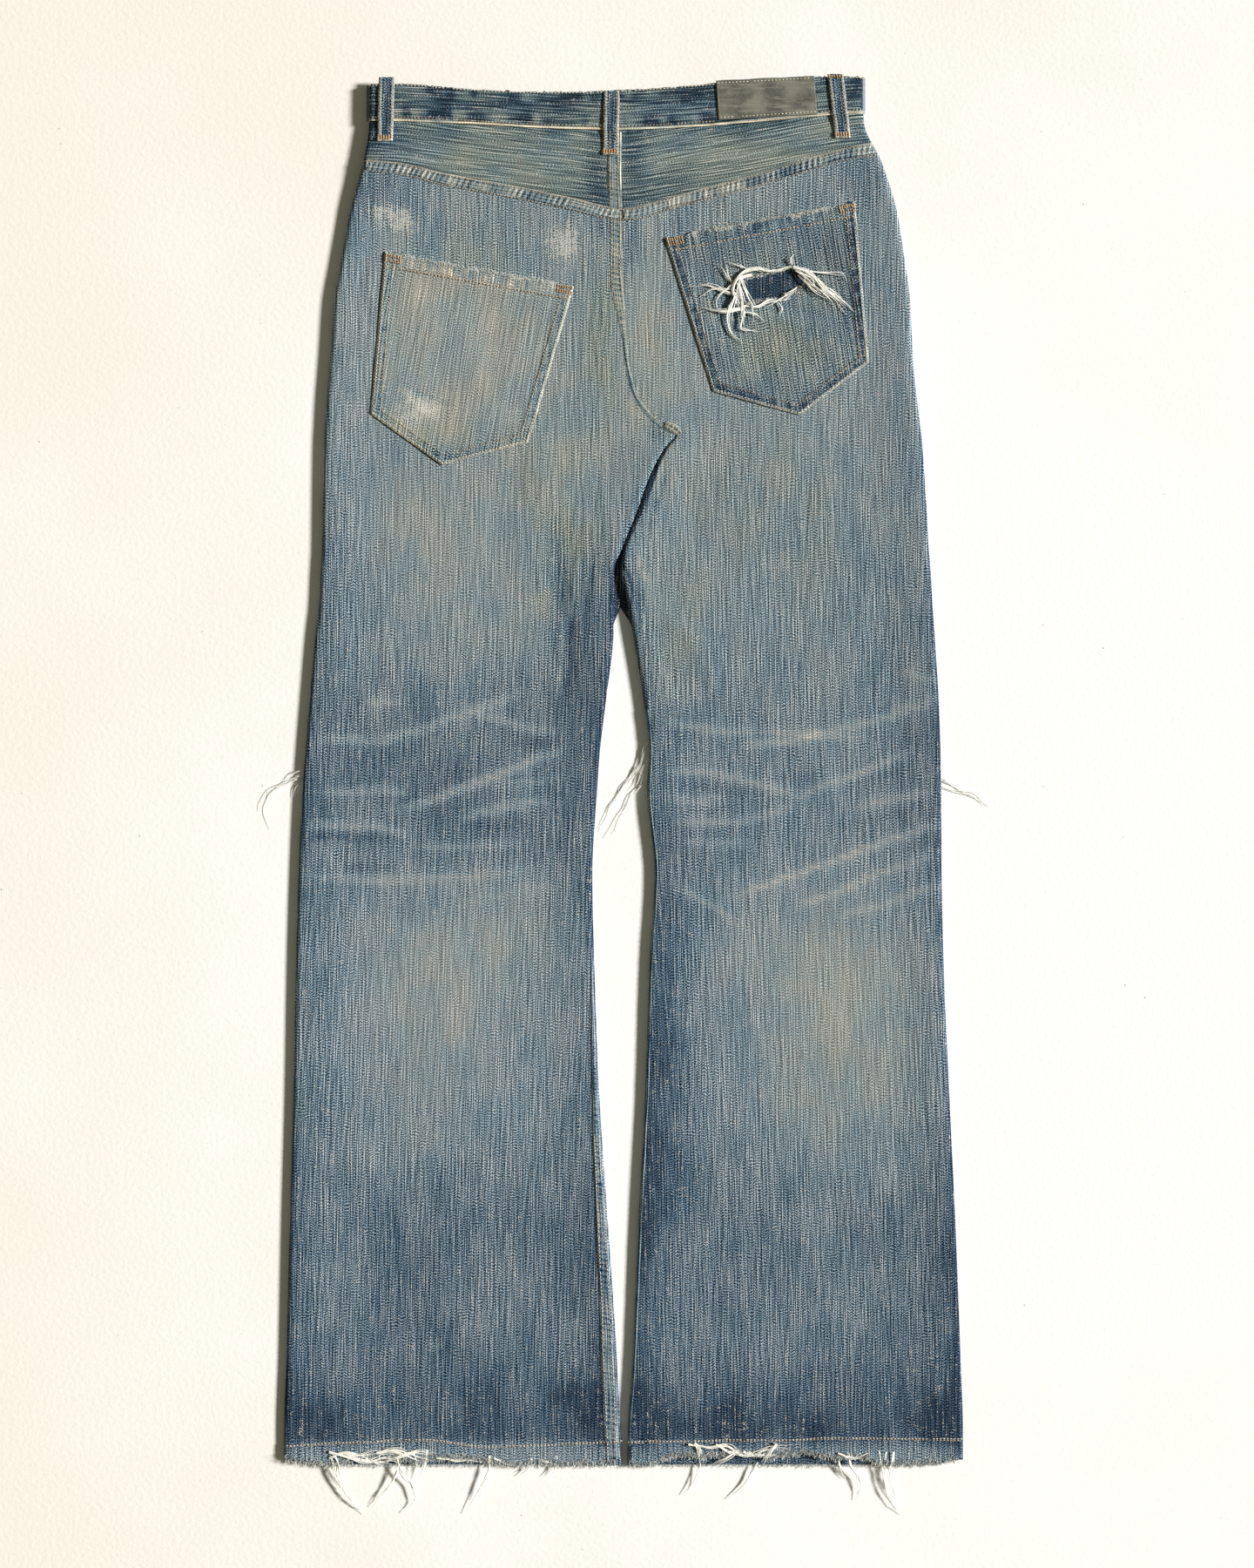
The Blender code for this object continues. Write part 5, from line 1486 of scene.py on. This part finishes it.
def grow(lines, tree, **values):
    """Runs a tree on a mesh of lines and leaves its plain result in their place."""
    modifier = lines.modifiers.new(tree.name, "NODES")
    modifier.node_group = tree
    for item in tree.interface.items_tree:
        if item.in_out == "INPUT" and item.name in values:
            modifier[item.identifier] = values[item.name]
    bpy.context.view_layer.update()
    depsgraph = bpy.context.evaluated_depsgraph_get()
    mesh = bpy.data.meshes.new_from_object(lines.evaluated_get(depsgraph), depsgraph=depsgraph)
    lines.modifiers.clear()
    lines.data = mesh
    mesh.name = lines.name
    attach(lines, "root")


def points_along(tree, given, pitch):
    """A tree's lines as curves, with a point every pitch metres."""
    curves = node(tree, "GeometryNodeMeshToCurve", {"Mesh": given["Geometry"]}).outputs[0]
    inputs = {"Curve": curves, "Length": pitch}
    return node(tree, "GeometryNodeResampleCurve", inputs, mode="LENGTH").outputs[0]


def close_tree(tree, given, geometry):
    """Makes a tree's result plain and gives it its material."""
    solid = node(tree, "GeometryNodeRealizeInstances", {0: geometry}).outputs[0]
    painted = node(tree, "GeometryNodeSetMaterial", {"Geometry": solid, "Material": given["Material"]})
    tree.links.new(painted.outputs[0], tree.nodes.new("NodeGroupOutput").inputs[0])
    return tree


def make_stitching_tree():
    """Spindles of thread, one for each stitch, along every line; a few are worn away."""
    tree, given = new_tree("stitching", Pitch=0.003, Length=0.0026, Radius=0.0004, Seed=1, Material=None)
    places = points_along(tree, given, given["Pitch"])
    tangent = node(tree, "GeometryNodeInputTangent").outputs[0]
    turn = node(tree, "FunctionNodeAlignRotationToVector", {"Vector": tangent}, axis="Z").outputs[0]
    sphere = {"Segments": 6, "Rings": 4, "Radius": 1.0}
    spindle = node(tree, "GeometryNodeMeshUVSphere", sphere).outputs["Mesh"]
    random = {"Min": 0.8, "Max": 1.15, "Seed": given["Seed"]}
    thick = node(tree, "FunctionNodeRandomValue", random, data_type="FLOAT").outputs[1]
    radius = calculate(tree, "MULTIPLY", given["Radius"], thick)
    half = calculate(tree, "MULTIPLY", given["Length"], 0.5)
    size = node(tree, "ShaderNodeCombineXYZ", {0: radius, 1: radius, 2: half}).outputs[0]
    random = {"Probability": 0.94, "Seed": given["Seed"]}
    kept = node(tree, "FunctionNodeRandomValue", random, data_type="BOOLEAN").outputs[3]
    inputs = {"Points": places, "Instance": spindle, "Rotation": turn, "Scale": size, "Selection": kept}
    stitches = node(tree, "GeometryNodeInstanceOnPoints", inputs).outputs[0]
    return close_tree(tree, given, stitches)


def make_thread(name, colour, pale_colour):
    """Cotton thread, faded unevenly along its seam."""
    material, tree, shader = new_material(name, 0.8)
    place = node(tree, "ShaderNodeTexCoord").outputs["Object"]
    faded = noise(tree, place, 75.0, 2.0)
    fibre = noise(tree, place, 900.0, 2.0)
    tone = colour_mix(tree, remap(tree, faded, 0.38, 0.62), colour, pale_colour)
    tone = colour_mix(tree, remap(tree, fibre, 0.3, 0.7, 0.0, 0.35), tone, (0.10, 0.12, 0.13))
    dress(tree, shader, tone, fibre, 0.4, 0.0002)
    return material


threads = {
    "cream": make_thread("cream thread", (0.56, 0.50, 0.39), (0.68, 0.64, 0.55)),
    "tan": make_thread("tan thread", (0.32, 0.21, 0.12), (0.56, 0.48, 0.37)),
    "gold": make_thread("gold thread", (0.48, 0.33, 0.18), (0.62, 0.50, 0.36)),
    "rust": make_thread("rust thread", (0.60, 0.33, 0.14), (0.72, 0.50, 0.29)),
}
surface = shown_surface()
sewn = {colour: [] for colour in threads}


def sew(colour, x, drop, from_below=False, stand=0.12):
    """Adds a row of stitches that lies on the cloth, or under it on the front."""
    sewn[colour].append(laid_on(surface, x, drop, stand, from_below))


def direction(a, b):
    """The direction from one place to another."""
    return (b - a) / np.hypot(*(b - a))


for name, first, second in (
    ("yoke_left", 4.3, -3.4), ("yoke_right", 4.3, -3.4), ("seat", 3.9, -3.2), ("yoke_middle", 3.6, -2.8),
    ("fork", 1.6, -1.6),
):
    x, drop = bands[name]
    shown = (drop < 172) | (name == "fork")
    for off in (first, second):
        sew("tan", *beside(x[shown], drop[shown], off))
x, drop = bands["inseam"]
shown = drop > 850
for share in (0.28, -0.30):
    sew("cream", *beside(x[shown], drop[shown], share * width[shown]))

for side, corners in POCKETS.items():
    ring = corners[[0, 4, 3, 2, 1]]
    for inset, colour in ((1.9, "cream"), (7.6, "tan")):
        turns = []
        for k in range(5):
            leave, arrive = direction(ring[k], ring[(k + 1) % 5]), direction(ring[k - 1], ring[k])
            inward = np.array([leave[1], -leave[0]]) + np.array([arrive[1], -arrive[0]])
            inward = inward / (1 + leave @ arrive)
            turns.append(ring[k] + inward * inset)
        for end, next_down, other in ((0, 1, 4), (4, 3, 0)):
            turns[end] = ring[end] + (ring[next_down] - ring[end]) * 0.006
            turns[end] = turns[end] + direction(ring[end], ring[other]) * inset
        for a, b in zip(turns, turns[1:]):
            sew(colour, *np.linspace(a, b, max(3, int(np.hypot(*(b - a)) / 2))).T)
    down = direction(ring[0], ring[1])
    start, end = ring[0] + down * 11, ring[4] + direction(ring[4], ring[3]) * 11
    sew("gold", *np.linspace(start + (end - start) * 0.02, start + (end - start) * 0.98, 70).T)
    # the bartack at each end of the top is a small sewn box
    across = direction(ring[0], ring[4])
    near, far, upper, lower = 1.6, 13.2, 1.6, 6.6
    rows = [(near, b, far, b, 10) for b in (upper, 2.7, 5.2, lower)]
    rows += [(a, upper, a, lower, 6) for a in (near, far)]
    for corner, inward in ((ring[0], across), (ring[4], -across)):
        for a, b, last_a, last_b, count in rows:
            first, last = corner + inward * a + down * b, corner + inward * last_a + down * last_b
            sew("rust", *np.linspace(first, last, count).T, stand=0.35)

for loop in LOOPS:
    steps = np.linspace(0.03, 0.93, 24)
    for off in (-4.6, 4.6):
        x, drop, height = loop_place(loop, steps, off)
        sewn["tan"].append(np.column_stack([x, drop, height + (0.35 if loop[4] else -0.35)]))
    for share in (0.925, 0.945, 0.965) + ((0.03, 0.05) if loop[0] == "back_right" else ()):
        x, drop, height = loop_place(loop, share, np.linspace(-5.2, 5.2, 9))
        sewn["rust"].append(np.column_stack([x, drop + 0 * x, height + (0.7 if loop[4] else -0.7)]))

# the waistband's two rows stop where the patch covers it
COVERED_FROM, COVERED_TO = 72, 157
sides, arcs = band_places()
x, height, top, seam = band_skin(sides, arcs)
covered = (x > COVERED_FROM) & (x < COVERED_TO) & (arcs > 0)
for share, colour in ((0.905, "tan"), (0.03, "cream")):
    row = np.column_stack([x, top + (seam - top) * share, height + band_outward(arcs) * 0.3])
    for run in np.split(row, np.flatnonzero(np.diff(covered.astype(int))) + 1):
        middle = (run[0, 0] + run[-1, 0]) / 2
        if not (COVERED_FROM < middle < COVERED_TO and run[0, 2] > 8):
            sewn[colour].append(run)

for first, second, inset in ((0, 1, 1.9), (3, 2, -1.9)):
    line = np.linspace(PATCH[first], PATCH[second], 40)[1:-1]
    sew("cream", line[:, 0], line[:, 1] + inset)

HEM_STITCH = [(-270, 1098), (-211, 1095), (-156, 1093.5), (-110, 1099), (-82, 1098), (-15, 1095), (-2, 1094)]
HEM_STITCH_RIGHT = [(4, 1095), (54, 1094), (120, 1093.5), (176, 1092), (271, 1093)]
for points in (HEM_STITCH, HEM_STITCH_RIGHT):
    x, drop = route(points, 2.0)
    sew("tan", x, drop + 0.9)
    sew("cream", x, drop + 0.5 * unevenness(x, 0, 20, 1, 90))
    sew("tan", x, drop, True)

# the front: both pocket mouths, the fly's J and the middle seam
for side in SIDES:
    for extra in (2.4, 8.4):
        wide, turns = MOUTH_WIDTH + extra, np.linspace(0.06, 1.5, 50)
        at_x = edge(side, "out", 60) + SIDES[side]["inward"] * wide * np.sin(turns)
        at_drop = mouth_line(at_x, wide * np.sin(turns), wide, MOUTH_DEPTH + extra)
        sew("tan", at_x, at_drop + 0.5, True)
for off in (34, 40):
    x, drop = route([(-off, 52), (-off, 150), (-off + 3, 172), (-off + 14, 192), (-2, 204)], 2.0)
    sew("tan", x, drop, True)
for off in (2.2, 8.0):
    drop = np.arange(58, 276, 2.0)
    sew("tan", edge("left", "in", drop) - off, drop, True)

stitching = make_stitching_tree()
for number, (colour, lines) in enumerate(sewn.items()):
    tight = STITCH_PITCH if colour != "rust" else TACK_PITCH
    grow(
        lines_mesh(f"{colour}_stitches", lines), stitching, Pitch=tight * MM, Length=0.74 * tight * MM,
        Radius=(STITCH_RADIUS + (0.12 if colour in ("gold", "rust") else 0)) * MM, Seed=number + 5,
        Material=threads[colour],
    )

# ------------------------------------------------------------------ loose threads
# Where the cloth has torn, its white weft is left: a knot and a fan of yarns at the pocket tear, yarns
# that hang off the torn hems, and a few pulled out at the knees.

YARN_RADIUS, THIN_YARN_RADIUS = 0.40, 0.24


def make_yarn():
    """Undyed cotton weft, cream, with a fine random grey."""
    material, tree, shader = new_material("weft yarn", 0.85)
    place = node(tree, "ShaderNodeTexCoord").outputs["Object"]
    fibre = noise(tree, place, 500.0, 3.0)
    soiled = noise(tree, place, 60.0, 2.0)
    tone = colour_mix(tree, remap(tree, soiled, 0.4, 0.65), (0.92, 0.91, 0.86), (0.84, 0.81, 0.72))
    tone = colour_mix(tree, remap(tree, fibre, 0.45, 0.75, 0.0, 0.25), tone, (0.52, 0.52, 0.48))
    dress(tree, shader, tone, fibre, 0.5, 0.0003)
    return material


def make_yarn_tree():
    """A thin round yarn along every line, finer towards its end."""
    tree, given = new_tree("yarn", Radius=0.0003, Sides=5, Material=None)
    smooth_lines = points_along(tree, given, 0.0024)
    along = node(tree, "GeometryNodeSplineParameter").outputs["Factor"]
    inputs = {"Value": along, 1: 0.6, 2: 1.0, 3: 1.0, 4: 0.35}
    taper = node(tree, "ShaderNodeMapRange", inputs).outputs[0]
    radius = calculate(tree, "MULTIPLY", taper, given["Radius"])
    profile = node(tree, "GeometryNodeCurvePrimitiveCircle", {"Resolution": given["Sides"], "Radius": 1.0})
    inputs = {"Curve": smooth_lines, "Profile Curve": profile.outputs[0], "Scale": radius, "Fill Caps": True}
    yarn = node(tree, "GeometryNodeCurveToMesh", inputs).outputs[0]
    return close_tree(tree, given, yarn)


def strands(points, count, spread, seed, wave=1.0):
    """Yarns that leave one place together and part along a given line (x, drop, height)."""
    random = np.random.default_rng(seed)
    x, drop, height = route(points, 2.0)
    made = []
    for k in range(count):
        steps = max(4, int(len(x) * (1.0 if k == 0 else random.uniform(0.55, 1.0))))
        share = np.linspace(0, steps / len(x), steps)
        sideways = random.normal(0, spread) * share**1.3 + random.normal(0, 0.35 * min(spread, 1.6))
        sideways = sideways + wave * unevenness(share * len(x) * 2, k, 9, 1, seed + k) * smooth(share, 0, 0.3)
        at_x, at_drop = beside(x[:steps], drop[:steps], sideways)
        lift = abs(random.normal(0, 0.5)) * (1 - share)
        lift = lift + 0.3 * unevenness(share * len(x) * 2, k, 7, 1, seed - k)
        made.append(np.column_stack([at_x, at_drop, np.maximum(height[:steps] + lift, 0.4)]))
    return made


def many_strands(table, seed):
    """The yarns of a table of lines, how many follow each, and how far they part."""
    made = []
    for points, count, spread in table:
        made += strands(points, count, spread, seed + len(made))
    return made


TEAR_YARNS = [
    ([(97, 168, 8.4), (88, 174.6, 9.6), (69, 168, 9.2), (51.8, 167.4, 8.8)], 4, 3),
    ([(92, 172, 8.6), (80, 170, 9.9), (70, 170, 9.6), (59, 176, 9)], 2, 2),
    ([(88, 168, 8.6), (82, 157, 9.6), (78.5, 151.8, 9)], 2, 1.5),
    ([(92, 164, 9), (82.6, 171, 10), (74.5, 181, 9.6), (76, 188, 9), (84, 190, 9)], 2, 1.2),
    ([(96, 184, 9), (94.6, 186.6, 10.5), (77, 189.3, 10.2), (63.8, 186.6, 9)], 9, 1.6),
    ([(92, 166, 8.6), (94, 176, 10.5), (96, 188, 10.8), (97, 200, 9.2)], 9, 2.4),
    ([(94, 162, 8.6), (98.6, 173.3, 10.6), (104, 186.6, 10.6), (104.5, 199, 9.2)], 5, 1.6),
    ([(93, 170, 8.6), (89, 179, 10.4), (84, 194.7, 10.2), (86.6, 205.4, 9.4), (95, 215, 8.8)], 6, 2),
    ([(96, 190, 9.6), (93.3, 202.7, 9.8), (101.3, 205.4, 9.2), (108, 206.2, 8.8)], 2, 1),
    ([(103, 160, 8.6), (92, 163, 10.2), (88, 172, 10.8), (93, 183, 10.2), (101, 188, 9.2)], 7, 1.8),
    ([(88, 165.5, 8.8), (96, 157.6, 9.8), (106.7, 155, 9.8), (117.4, 157.2, 9.6), (128, 155, 9.2)], 8, 0.9),
    ([(112, 157, 9), (122, 156.6, 9.4), (134.8, 153.4, 9.2), (141, 154, 8.8)], 5, 0.8),
    ([(93, 184.5, 9), (106.7, 185.4, 9.4), (117.4, 180.4, 9.2), (128, 180, 9), (139, 171, 8.8)], 5, 0.8),
    ([(139, 170, 8.8), (129, 177.6, 9.4), (119, 183, 9.2), (113, 186, 8.8)], 2, 1),
    ([(136, 154, 8.8), (147, 157, 10.4), (160.3, 170.6, 10), (172, 181, 9.2), (181.7, 192, 8.8)], 9, 4.2),
    ([(138, 156, 8.8), (150, 163, 10.2), (163, 172, 9.8), (179, 184, 9)], 8, 3.2),
    ([(140, 160, 8.8), (150, 169, 10), (160, 175, 9.4), (174, 178, 8.8)], 4, 2.6),
    ([(136, 153, 8.8), (155, 157.2, 10.2), (176.3, 158.5, 9.4), (179, 165.2, 8.8)], 3, 1),
    ([(134.8, 152, 8.8), (133.5, 146.5, 10.2), (136.7, 143.3, 9.4)], 2, 0.8),
    ([(124, 182, 8.8), (128, 187, 9.6), (125, 192, 9)], 2, 1),
    ([(100, 156, 8.8), (92, 152, 9.6), (84, 150, 9)], 2, 1),
    ([(94, 190, 9), (104, 192, 10), (112, 198, 9)], 3, 1),
]
# the yarns of the hems, which hang on to the floor
HEM_YARNS = [
    ([(-236, 1106, 5), (-234, 1110, 5.5), (-231.5, 1123, 4.6), (-219.5, 1142, 3.6), (-207, 1154, 2)], 4, 1.2),
    ([(-181, 1106, 5), (-180.6, 1115, 5), (-190, 1134, 3.4), (-203, 1147, 1.6)], 4, 2),
    ([(-182, 1108, 5), (-179.3, 1117.7, 5), (-170, 1131, 4), (-167.2, 1142, 3), (-176, 1154, 1.6)], 4, 1),
    ([(-158, 1101, 5.4), (-159, 1110, 5), (-164.5, 1126, 3)], 5, 1.8),
    ([(-170, 1102, 5.4), (-166, 1112, 4.6), (-170, 1122, 2.6)], 3, 1.4),
    ([(-108, 1106, 5), (-108.3, 1115, 5), (-113.6, 1131, 4), (-128, 1153, 1.8)], 4, 1.6),
    ([(-54, 1106, 5), (-54, 1112, 4), (-64, 1124, 1.6)], 3, 2),
    ([(-74, 1108, 5), (-76, 1116, 3), (-86, 1123, 1.2)], 3, 2),
    ([(61, 1112, 3), (57, 1128, 2.6), (47.7, 1139, 1.4)], 3, 1.6),
    ([(108, 1112, 3), (96, 1131, 2.4), (83, 1142, 1.2)], 3, 1.6),
    ([(180, 1104, 4.6), (181, 1112, 5), (188.4, 1126, 4), (189.7, 1136, 2.6), (187, 1143, 1.4)], 4, 1.2),
    ([(172, 1106, 4.6), (174, 1114, 3.6), (184, 1126, 1.6)], 3, 1.2),
    ([(205, 1102, 5), (206, 1110, 5), (208.5, 1128, 4.4), (216.5, 1147, 3), (224, 1155, 1.6)], 4, 1),
    ([(217, 1103, 5), (216.5, 1110, 5), (214, 1122, 4.4), (219, 1140, 2.6), (223, 1150, 1.4)], 6, 1.6),
    ([(211, 1103, 5), (210, 1112, 4.6), (212, 1122, 2.6)], 4, 1.6),
    ([(57, 1096, 6), (60, 1100, 6.4), (61.5, 1114, 3.6)], 7, 1.5),
    ([(92, 1102, 5.6), (84, 1107, 6), (69, 1114, 3.4)], 6, 1.2),
    ([(122, 1096, 6), (119, 1101, 6.2), (109, 1115.5, 3.4)], 8, 1.6),
    ([(52, 1097, 6), (69, 1099, 6), (83, 1097.6, 6), (96, 1104.5, 5.6), (109, 1103, 5.8),
      (120, 1097, 6)], 6, 1.3),
    ([(74, 1097, 6), (88, 1104, 6), (102, 1105, 6), (118, 1099, 6), (136, 1098, 6)], 4, 1.2),
    ([(96, 1103, 5.6), (104, 1106, 5.6), (118, 1107, 5.2), (130, 1102, 5.4)], 3, 0.9),
    ([(172, 1104, 5.8), (184, 1107, 5.6), (198, 1104, 5.8)], 4, 1),
    ([(-236, 1103, 6.2), (-222, 1107, 6.6), (-206, 1110, 6.2), (-190, 1107, 6.4), (-176, 1110, 6)], 9, 2.6),
    ([(-236, 1108, 5.8), (-226, 1104, 6.6), (-212, 1107, 6.4), (-198, 1104, 6.6), (-186, 1108, 6)], 6, 2.2),
    ([(-232, 1106, 6), (-229, 1112, 6), (-228, 1122, 4.4), (-222, 1132, 3)], 6, 1.6),
    ([(-198, 1104, 6), (-184, 1102, 6.4), (-168, 1107, 6), (-152, 1110, 5.2)], 9, 2.2),
    ([(-190, 1110, 5.4), (-178, 1106, 6.2), (-166, 1103, 6), (-150, 1104, 5.8)], 8, 2.2),
    ([(-150, 1108, 5.6), (-138, 1110, 5.4), (-122, 1111, 5.2), (-110, 1112, 5)], 5, 1.2),
    ([(-210, 1106, 5.8), (-200, 1112, 5), (-186, 1115, 4)], 4, 1.4),
    ([(-104, 1108, 5.4), (-92, 1112, 5), (-78, 1111, 5)], 4, 1.4),
    ([(-66, 1110, 5.2), (-52, 1113, 4.6), (-44, 1111, 4.8)], 3, 1),
]
# the yarns that have worked out beside the legs
PULLED_YARNS = [
    ([(-246, 556, 1.4), (-262, 560, 2.4), (-270, 568, 2.2), (-279, 572, 1.6)], 5, 2.6),
    ([(-250, 557, 1.4), (-270, 566, 2), (-286, 577, 1.4), (-290, 590, 1), (-286, 605, 0.8)], 3, 1.2),
    ([(-250, 562, 1.4), (-262, 570, 2), (-264, 578, 1.2)], 3, 1.4),
    ([(30, 528, 1.4), (18, 536, 2.4), (13, 552, 2.4), (2, 568, 1.8), (-12, 590, 1.2),
      (-19.6, 605, 0.8)], 4, 2.2),
    ([(26, 545, 1.4), (15, 556, 2.6), (10, 568, 2), (4, 574, 1.2)], 6, 2.4),
    ([(24, 560, 1.4), (12, 572, 2.2), (0, 590, 1.4), (-13, 612, 0.8)], 2, 1.4),
    ([(246, 560, 1.2), (262, 566, 1.6), (276, 574.5, 1.2), (294, 583, 0.8)], 3, 1.4),
    ([(248, 566, 1.2), (264, 572, 1.4), (282, 577, 1), (293, 588, 0.8)], 2, 1),
]
# the weft that still crosses the torn knees
knee_yarns = []
for side in KNEE_TEARS:
    middle, tear_drop, half_length, half_height = knee_tear(side)[:4]
    for k in range(15):
        spot = k / 7 - 1
        at = tear_drop + half_height * spot * 0.95
        reach = math.sqrt(max(0.05, 1 - spot**2)) * half_length + 6
        low = 0.9 + 0.25 * math.sin(k * 2.1)
        points = [(middle - reach, at + 1, 1.9), (middle - reach * 0.4, at + 1.2 * math.sin(k), low)]
        points += [(middle + reach * 0.4, at - math.cos(k * 1.7), low), (middle + reach, at - 1, 1.9)]
        knee_yarns += strands(points, 1, 0.5, 700 + k, 0.8)
knee_yarns += many_strands(PULLED_YARNS, 800 + len(knee_yarns))

weft_yarn = make_yarn()
yarn_tree = make_yarn_tree()
for name, lines, radius in (
    ("pocket_tear_yarns", many_strands(TEAR_YARNS, 300), YARN_RADIUS),
    ("hem_yarns", many_strands(HEM_YARNS, 500), YARN_RADIUS), ("knee_yarns", knee_yarns, THIN_YARN_RADIUS),
):
    grow(lines_mesh(name, lines), yarn_tree, Radius=radius * MM, Sides=5, Material=weft_yarn)

# ------------------------------------------------------------------ fray
# Short fibres stand out of every raw and rubbed edge: the hems, the tears, the tops of the pockets and,
# finer, the top of the waistband.


def make_fray_tree():
    """Short bent fibres along every line, each turned at random about the line's outward direction."""
    inputs = {"Spacing": 0.001, "Length": 0.003, "Radius": 0.0001, "Spread": 0.8, "Seed": 1, "Material": None}
    tree, given = new_tree("fray", **inputs)
    places = points_along(tree, given, given["Spacing"])
    bent = {"Resolution": 3, "Start": (0, 0, 0), "Middle": (0.55, 0.0, 0.1), "End": (0.95, 0.35, 0.0)}
    line = node(tree, "GeometryNodeCurveQuadraticBezier", bent).outputs[0]
    share = calculate(tree, "DIVIDE", given["Radius"], given["Length"])
    profile = node(tree, "GeometryNodeCurvePrimitiveCircle", {"Resolution": 3, "Radius": share}).outputs[0]
    fibre = node(tree, "GeometryNodeCurveToMesh", {"Curve": line, "Profile Curve": profile}).outputs[0]
    out = node(tree, "GeometryNodeInputNamedAttribute", {"Name": "out"}, data_type="FLOAT_VECTOR").outputs[0]
    turn = node(tree, "FunctionNodeAlignRotationToVector", {"Vector": out}, axis="X").outputs[0]
    less = calculate(tree, "MULTIPLY", given["Spread"], -1.0)
    low = node(tree, "ShaderNodeCombineXYZ", {0: -3.14, 1: less, 2: less}).outputs[0]
    high = node(tree, "ShaderNodeCombineXYZ", {0: 3.14, 1: given["Spread"], 2: given["Spread"]}).outputs[0]
    random = {"Min": low, "Max": high, "Seed": given["Seed"]}
    angles = node(tree, "FunctionNodeRandomValue", random, data_type="FLOAT_VECTOR").outputs[0]
    away = node(tree, "FunctionNodeRotateRotation", {0: turn, 1: angles}, rotation_space="LOCAL").outputs[0]
    grown = {2: 0.35, 3: 1.15, "Seed": given["Seed"]}
    size = node(tree, "FunctionNodeRandomValue", grown, data_type="FLOAT").outputs[1]
    size = calculate(tree, "MULTIPLY", size, given["Length"])
    inputs = {"Points": places, "Instance": fibre, "Rotation": away, "Scale": size}
    hairs = node(tree, "GeometryNodeInstanceOnPoints", inputs).outputs[0]
    return close_tree(tree, given, hairs)


def fray(name, lines, outs, material, **values):
    """Fibres along lines whose places know which way their fibres point."""
    made = lines_mesh(name, lines)
    outs = np.concatenate([np.broadcast_to(out, line.shape) for line, out in zip(lines, outs)])
    outs = np.column_stack([outs[:, 0], -outs[:, 1], outs[:, 2]])
    stored = made.data.attributes.new("out", "FLOAT_VECTOR", "POINT")
    stored.data.foreach_set("vector", outs.astype(np.float32).ravel())
    grow(made, fray_tree, Material=material, **values)


def rim_of_tear(at_x, at_drop, half_length, half_height, slope, _seed, power=2):
    """Places round the edge of a tear and the directions into it."""
    turns = np.linspace(0, 2 * math.pi, 60)
    along, off = np.cos(turns), np.sin(turns)
    along = np.sign(along) * abs(along) ** (2 / power)
    x = at_x + half_length * along
    lens = np.sqrt(np.clip(1 - abs(along) ** power, 0, 1))
    drop = at_drop + slope * (x - at_x) + half_height * off * lens / (abs(off) + 1e-6)
    return x, drop, np.column_stack([-0.4 * along, -off, 0.5 + 0 * off])


fray_tree = make_fray_tree()
blue_fibre = make_thread("blue fibre", (0.16, 0.21, 0.25), (0.34, 0.38, 0.38))
surface = shown_surface()
raw, ways = [], []
for first, last in ((-270, -4), (5, 270)):
    x = np.arange(first, last, 2.0)
    for on_back, height, inset in ((True, 5.6, 0.3), (True, 4.8, 0.3), (True, 5.9, 3.0), (False, 1.5, 0.3)):
        line = hem_line(x, on_back) - inset
        raw.append(np.column_stack([x, line, height + 0 * x]))
        ways.append(np.array([0.0, 1.0, 0.25 if on_back else 0.5]))
fray("hem_fray", raw, ways, weft_yarn, Spacing=0.0009, Length=0.0038, Radius=0.00014, Spread=0.6, Seed=3)
fray("hem_nap", raw, ways, blue_fibre, Spacing=0.0008, Length=0.0026, Radius=0.00016, Spread=0.7, Seed=9)

raw, ways = [], []
for side, span in (("left", (0.1, 0.86)), ("right", (0.24, 0.80))):
    start, end = POCKETS[side][:2]
    line = np.linspace(start + (end - start) * span[0], start + (end - start) * span[1], 60)
    for inset in (0.6, 2.0):
        raw.append(laid_on(surface, line[:, 0], line[:, 1] + inset, -0.1))
        ways.append(np.array([0.1, -0.8, 0.5]))
x, drop, towards = rim_of_tear(*POCKET_TEAR)
raw.append(laid_on(surface, x - 1.2 * towards[:, 0], drop - 1.2 * towards[:, 1], -0.1))
ways.append(towards)
x = np.linspace(70, 94, 12)
raw.append(laid_on(surface, x, 118.5 - 0.12 * (x - 82), -0.1))
ways.append(np.array([0.6, -0.5, 0.6]))
fray("pocket_fray", raw, ways, weft_yarn, Spacing=0.0007, Length=0.003, Radius=0.00012, Spread=0.9, Seed=4)

raw, ways = [], []
for side in KNEE_TEARS:
    x, drop, towards = rim_of_tear(*knee_tear(side))
    raw.append(np.column_stack([x, drop, 1.6 + 0 * x]))
    ways.append(towards * np.array([1, 1, 0.4]))
fray("knee_fray", raw, ways, weft_yarn, Spacing=0.0007, Length=0.0045, Radius=0.00013, Spread=0.3, Seed=5)

x, height, top, seam = band_skin(*band_places())
raw, ways = [np.column_stack([x, top + 0.8, height - 0.2])], [np.array([0.0, -1.0, 0.2])]
fray("waist_nap", raw, ways, blue_fibre, Spacing=0.0012, Length=0.0018, Radius=0.00009, Spread=0.9, Seed=6)
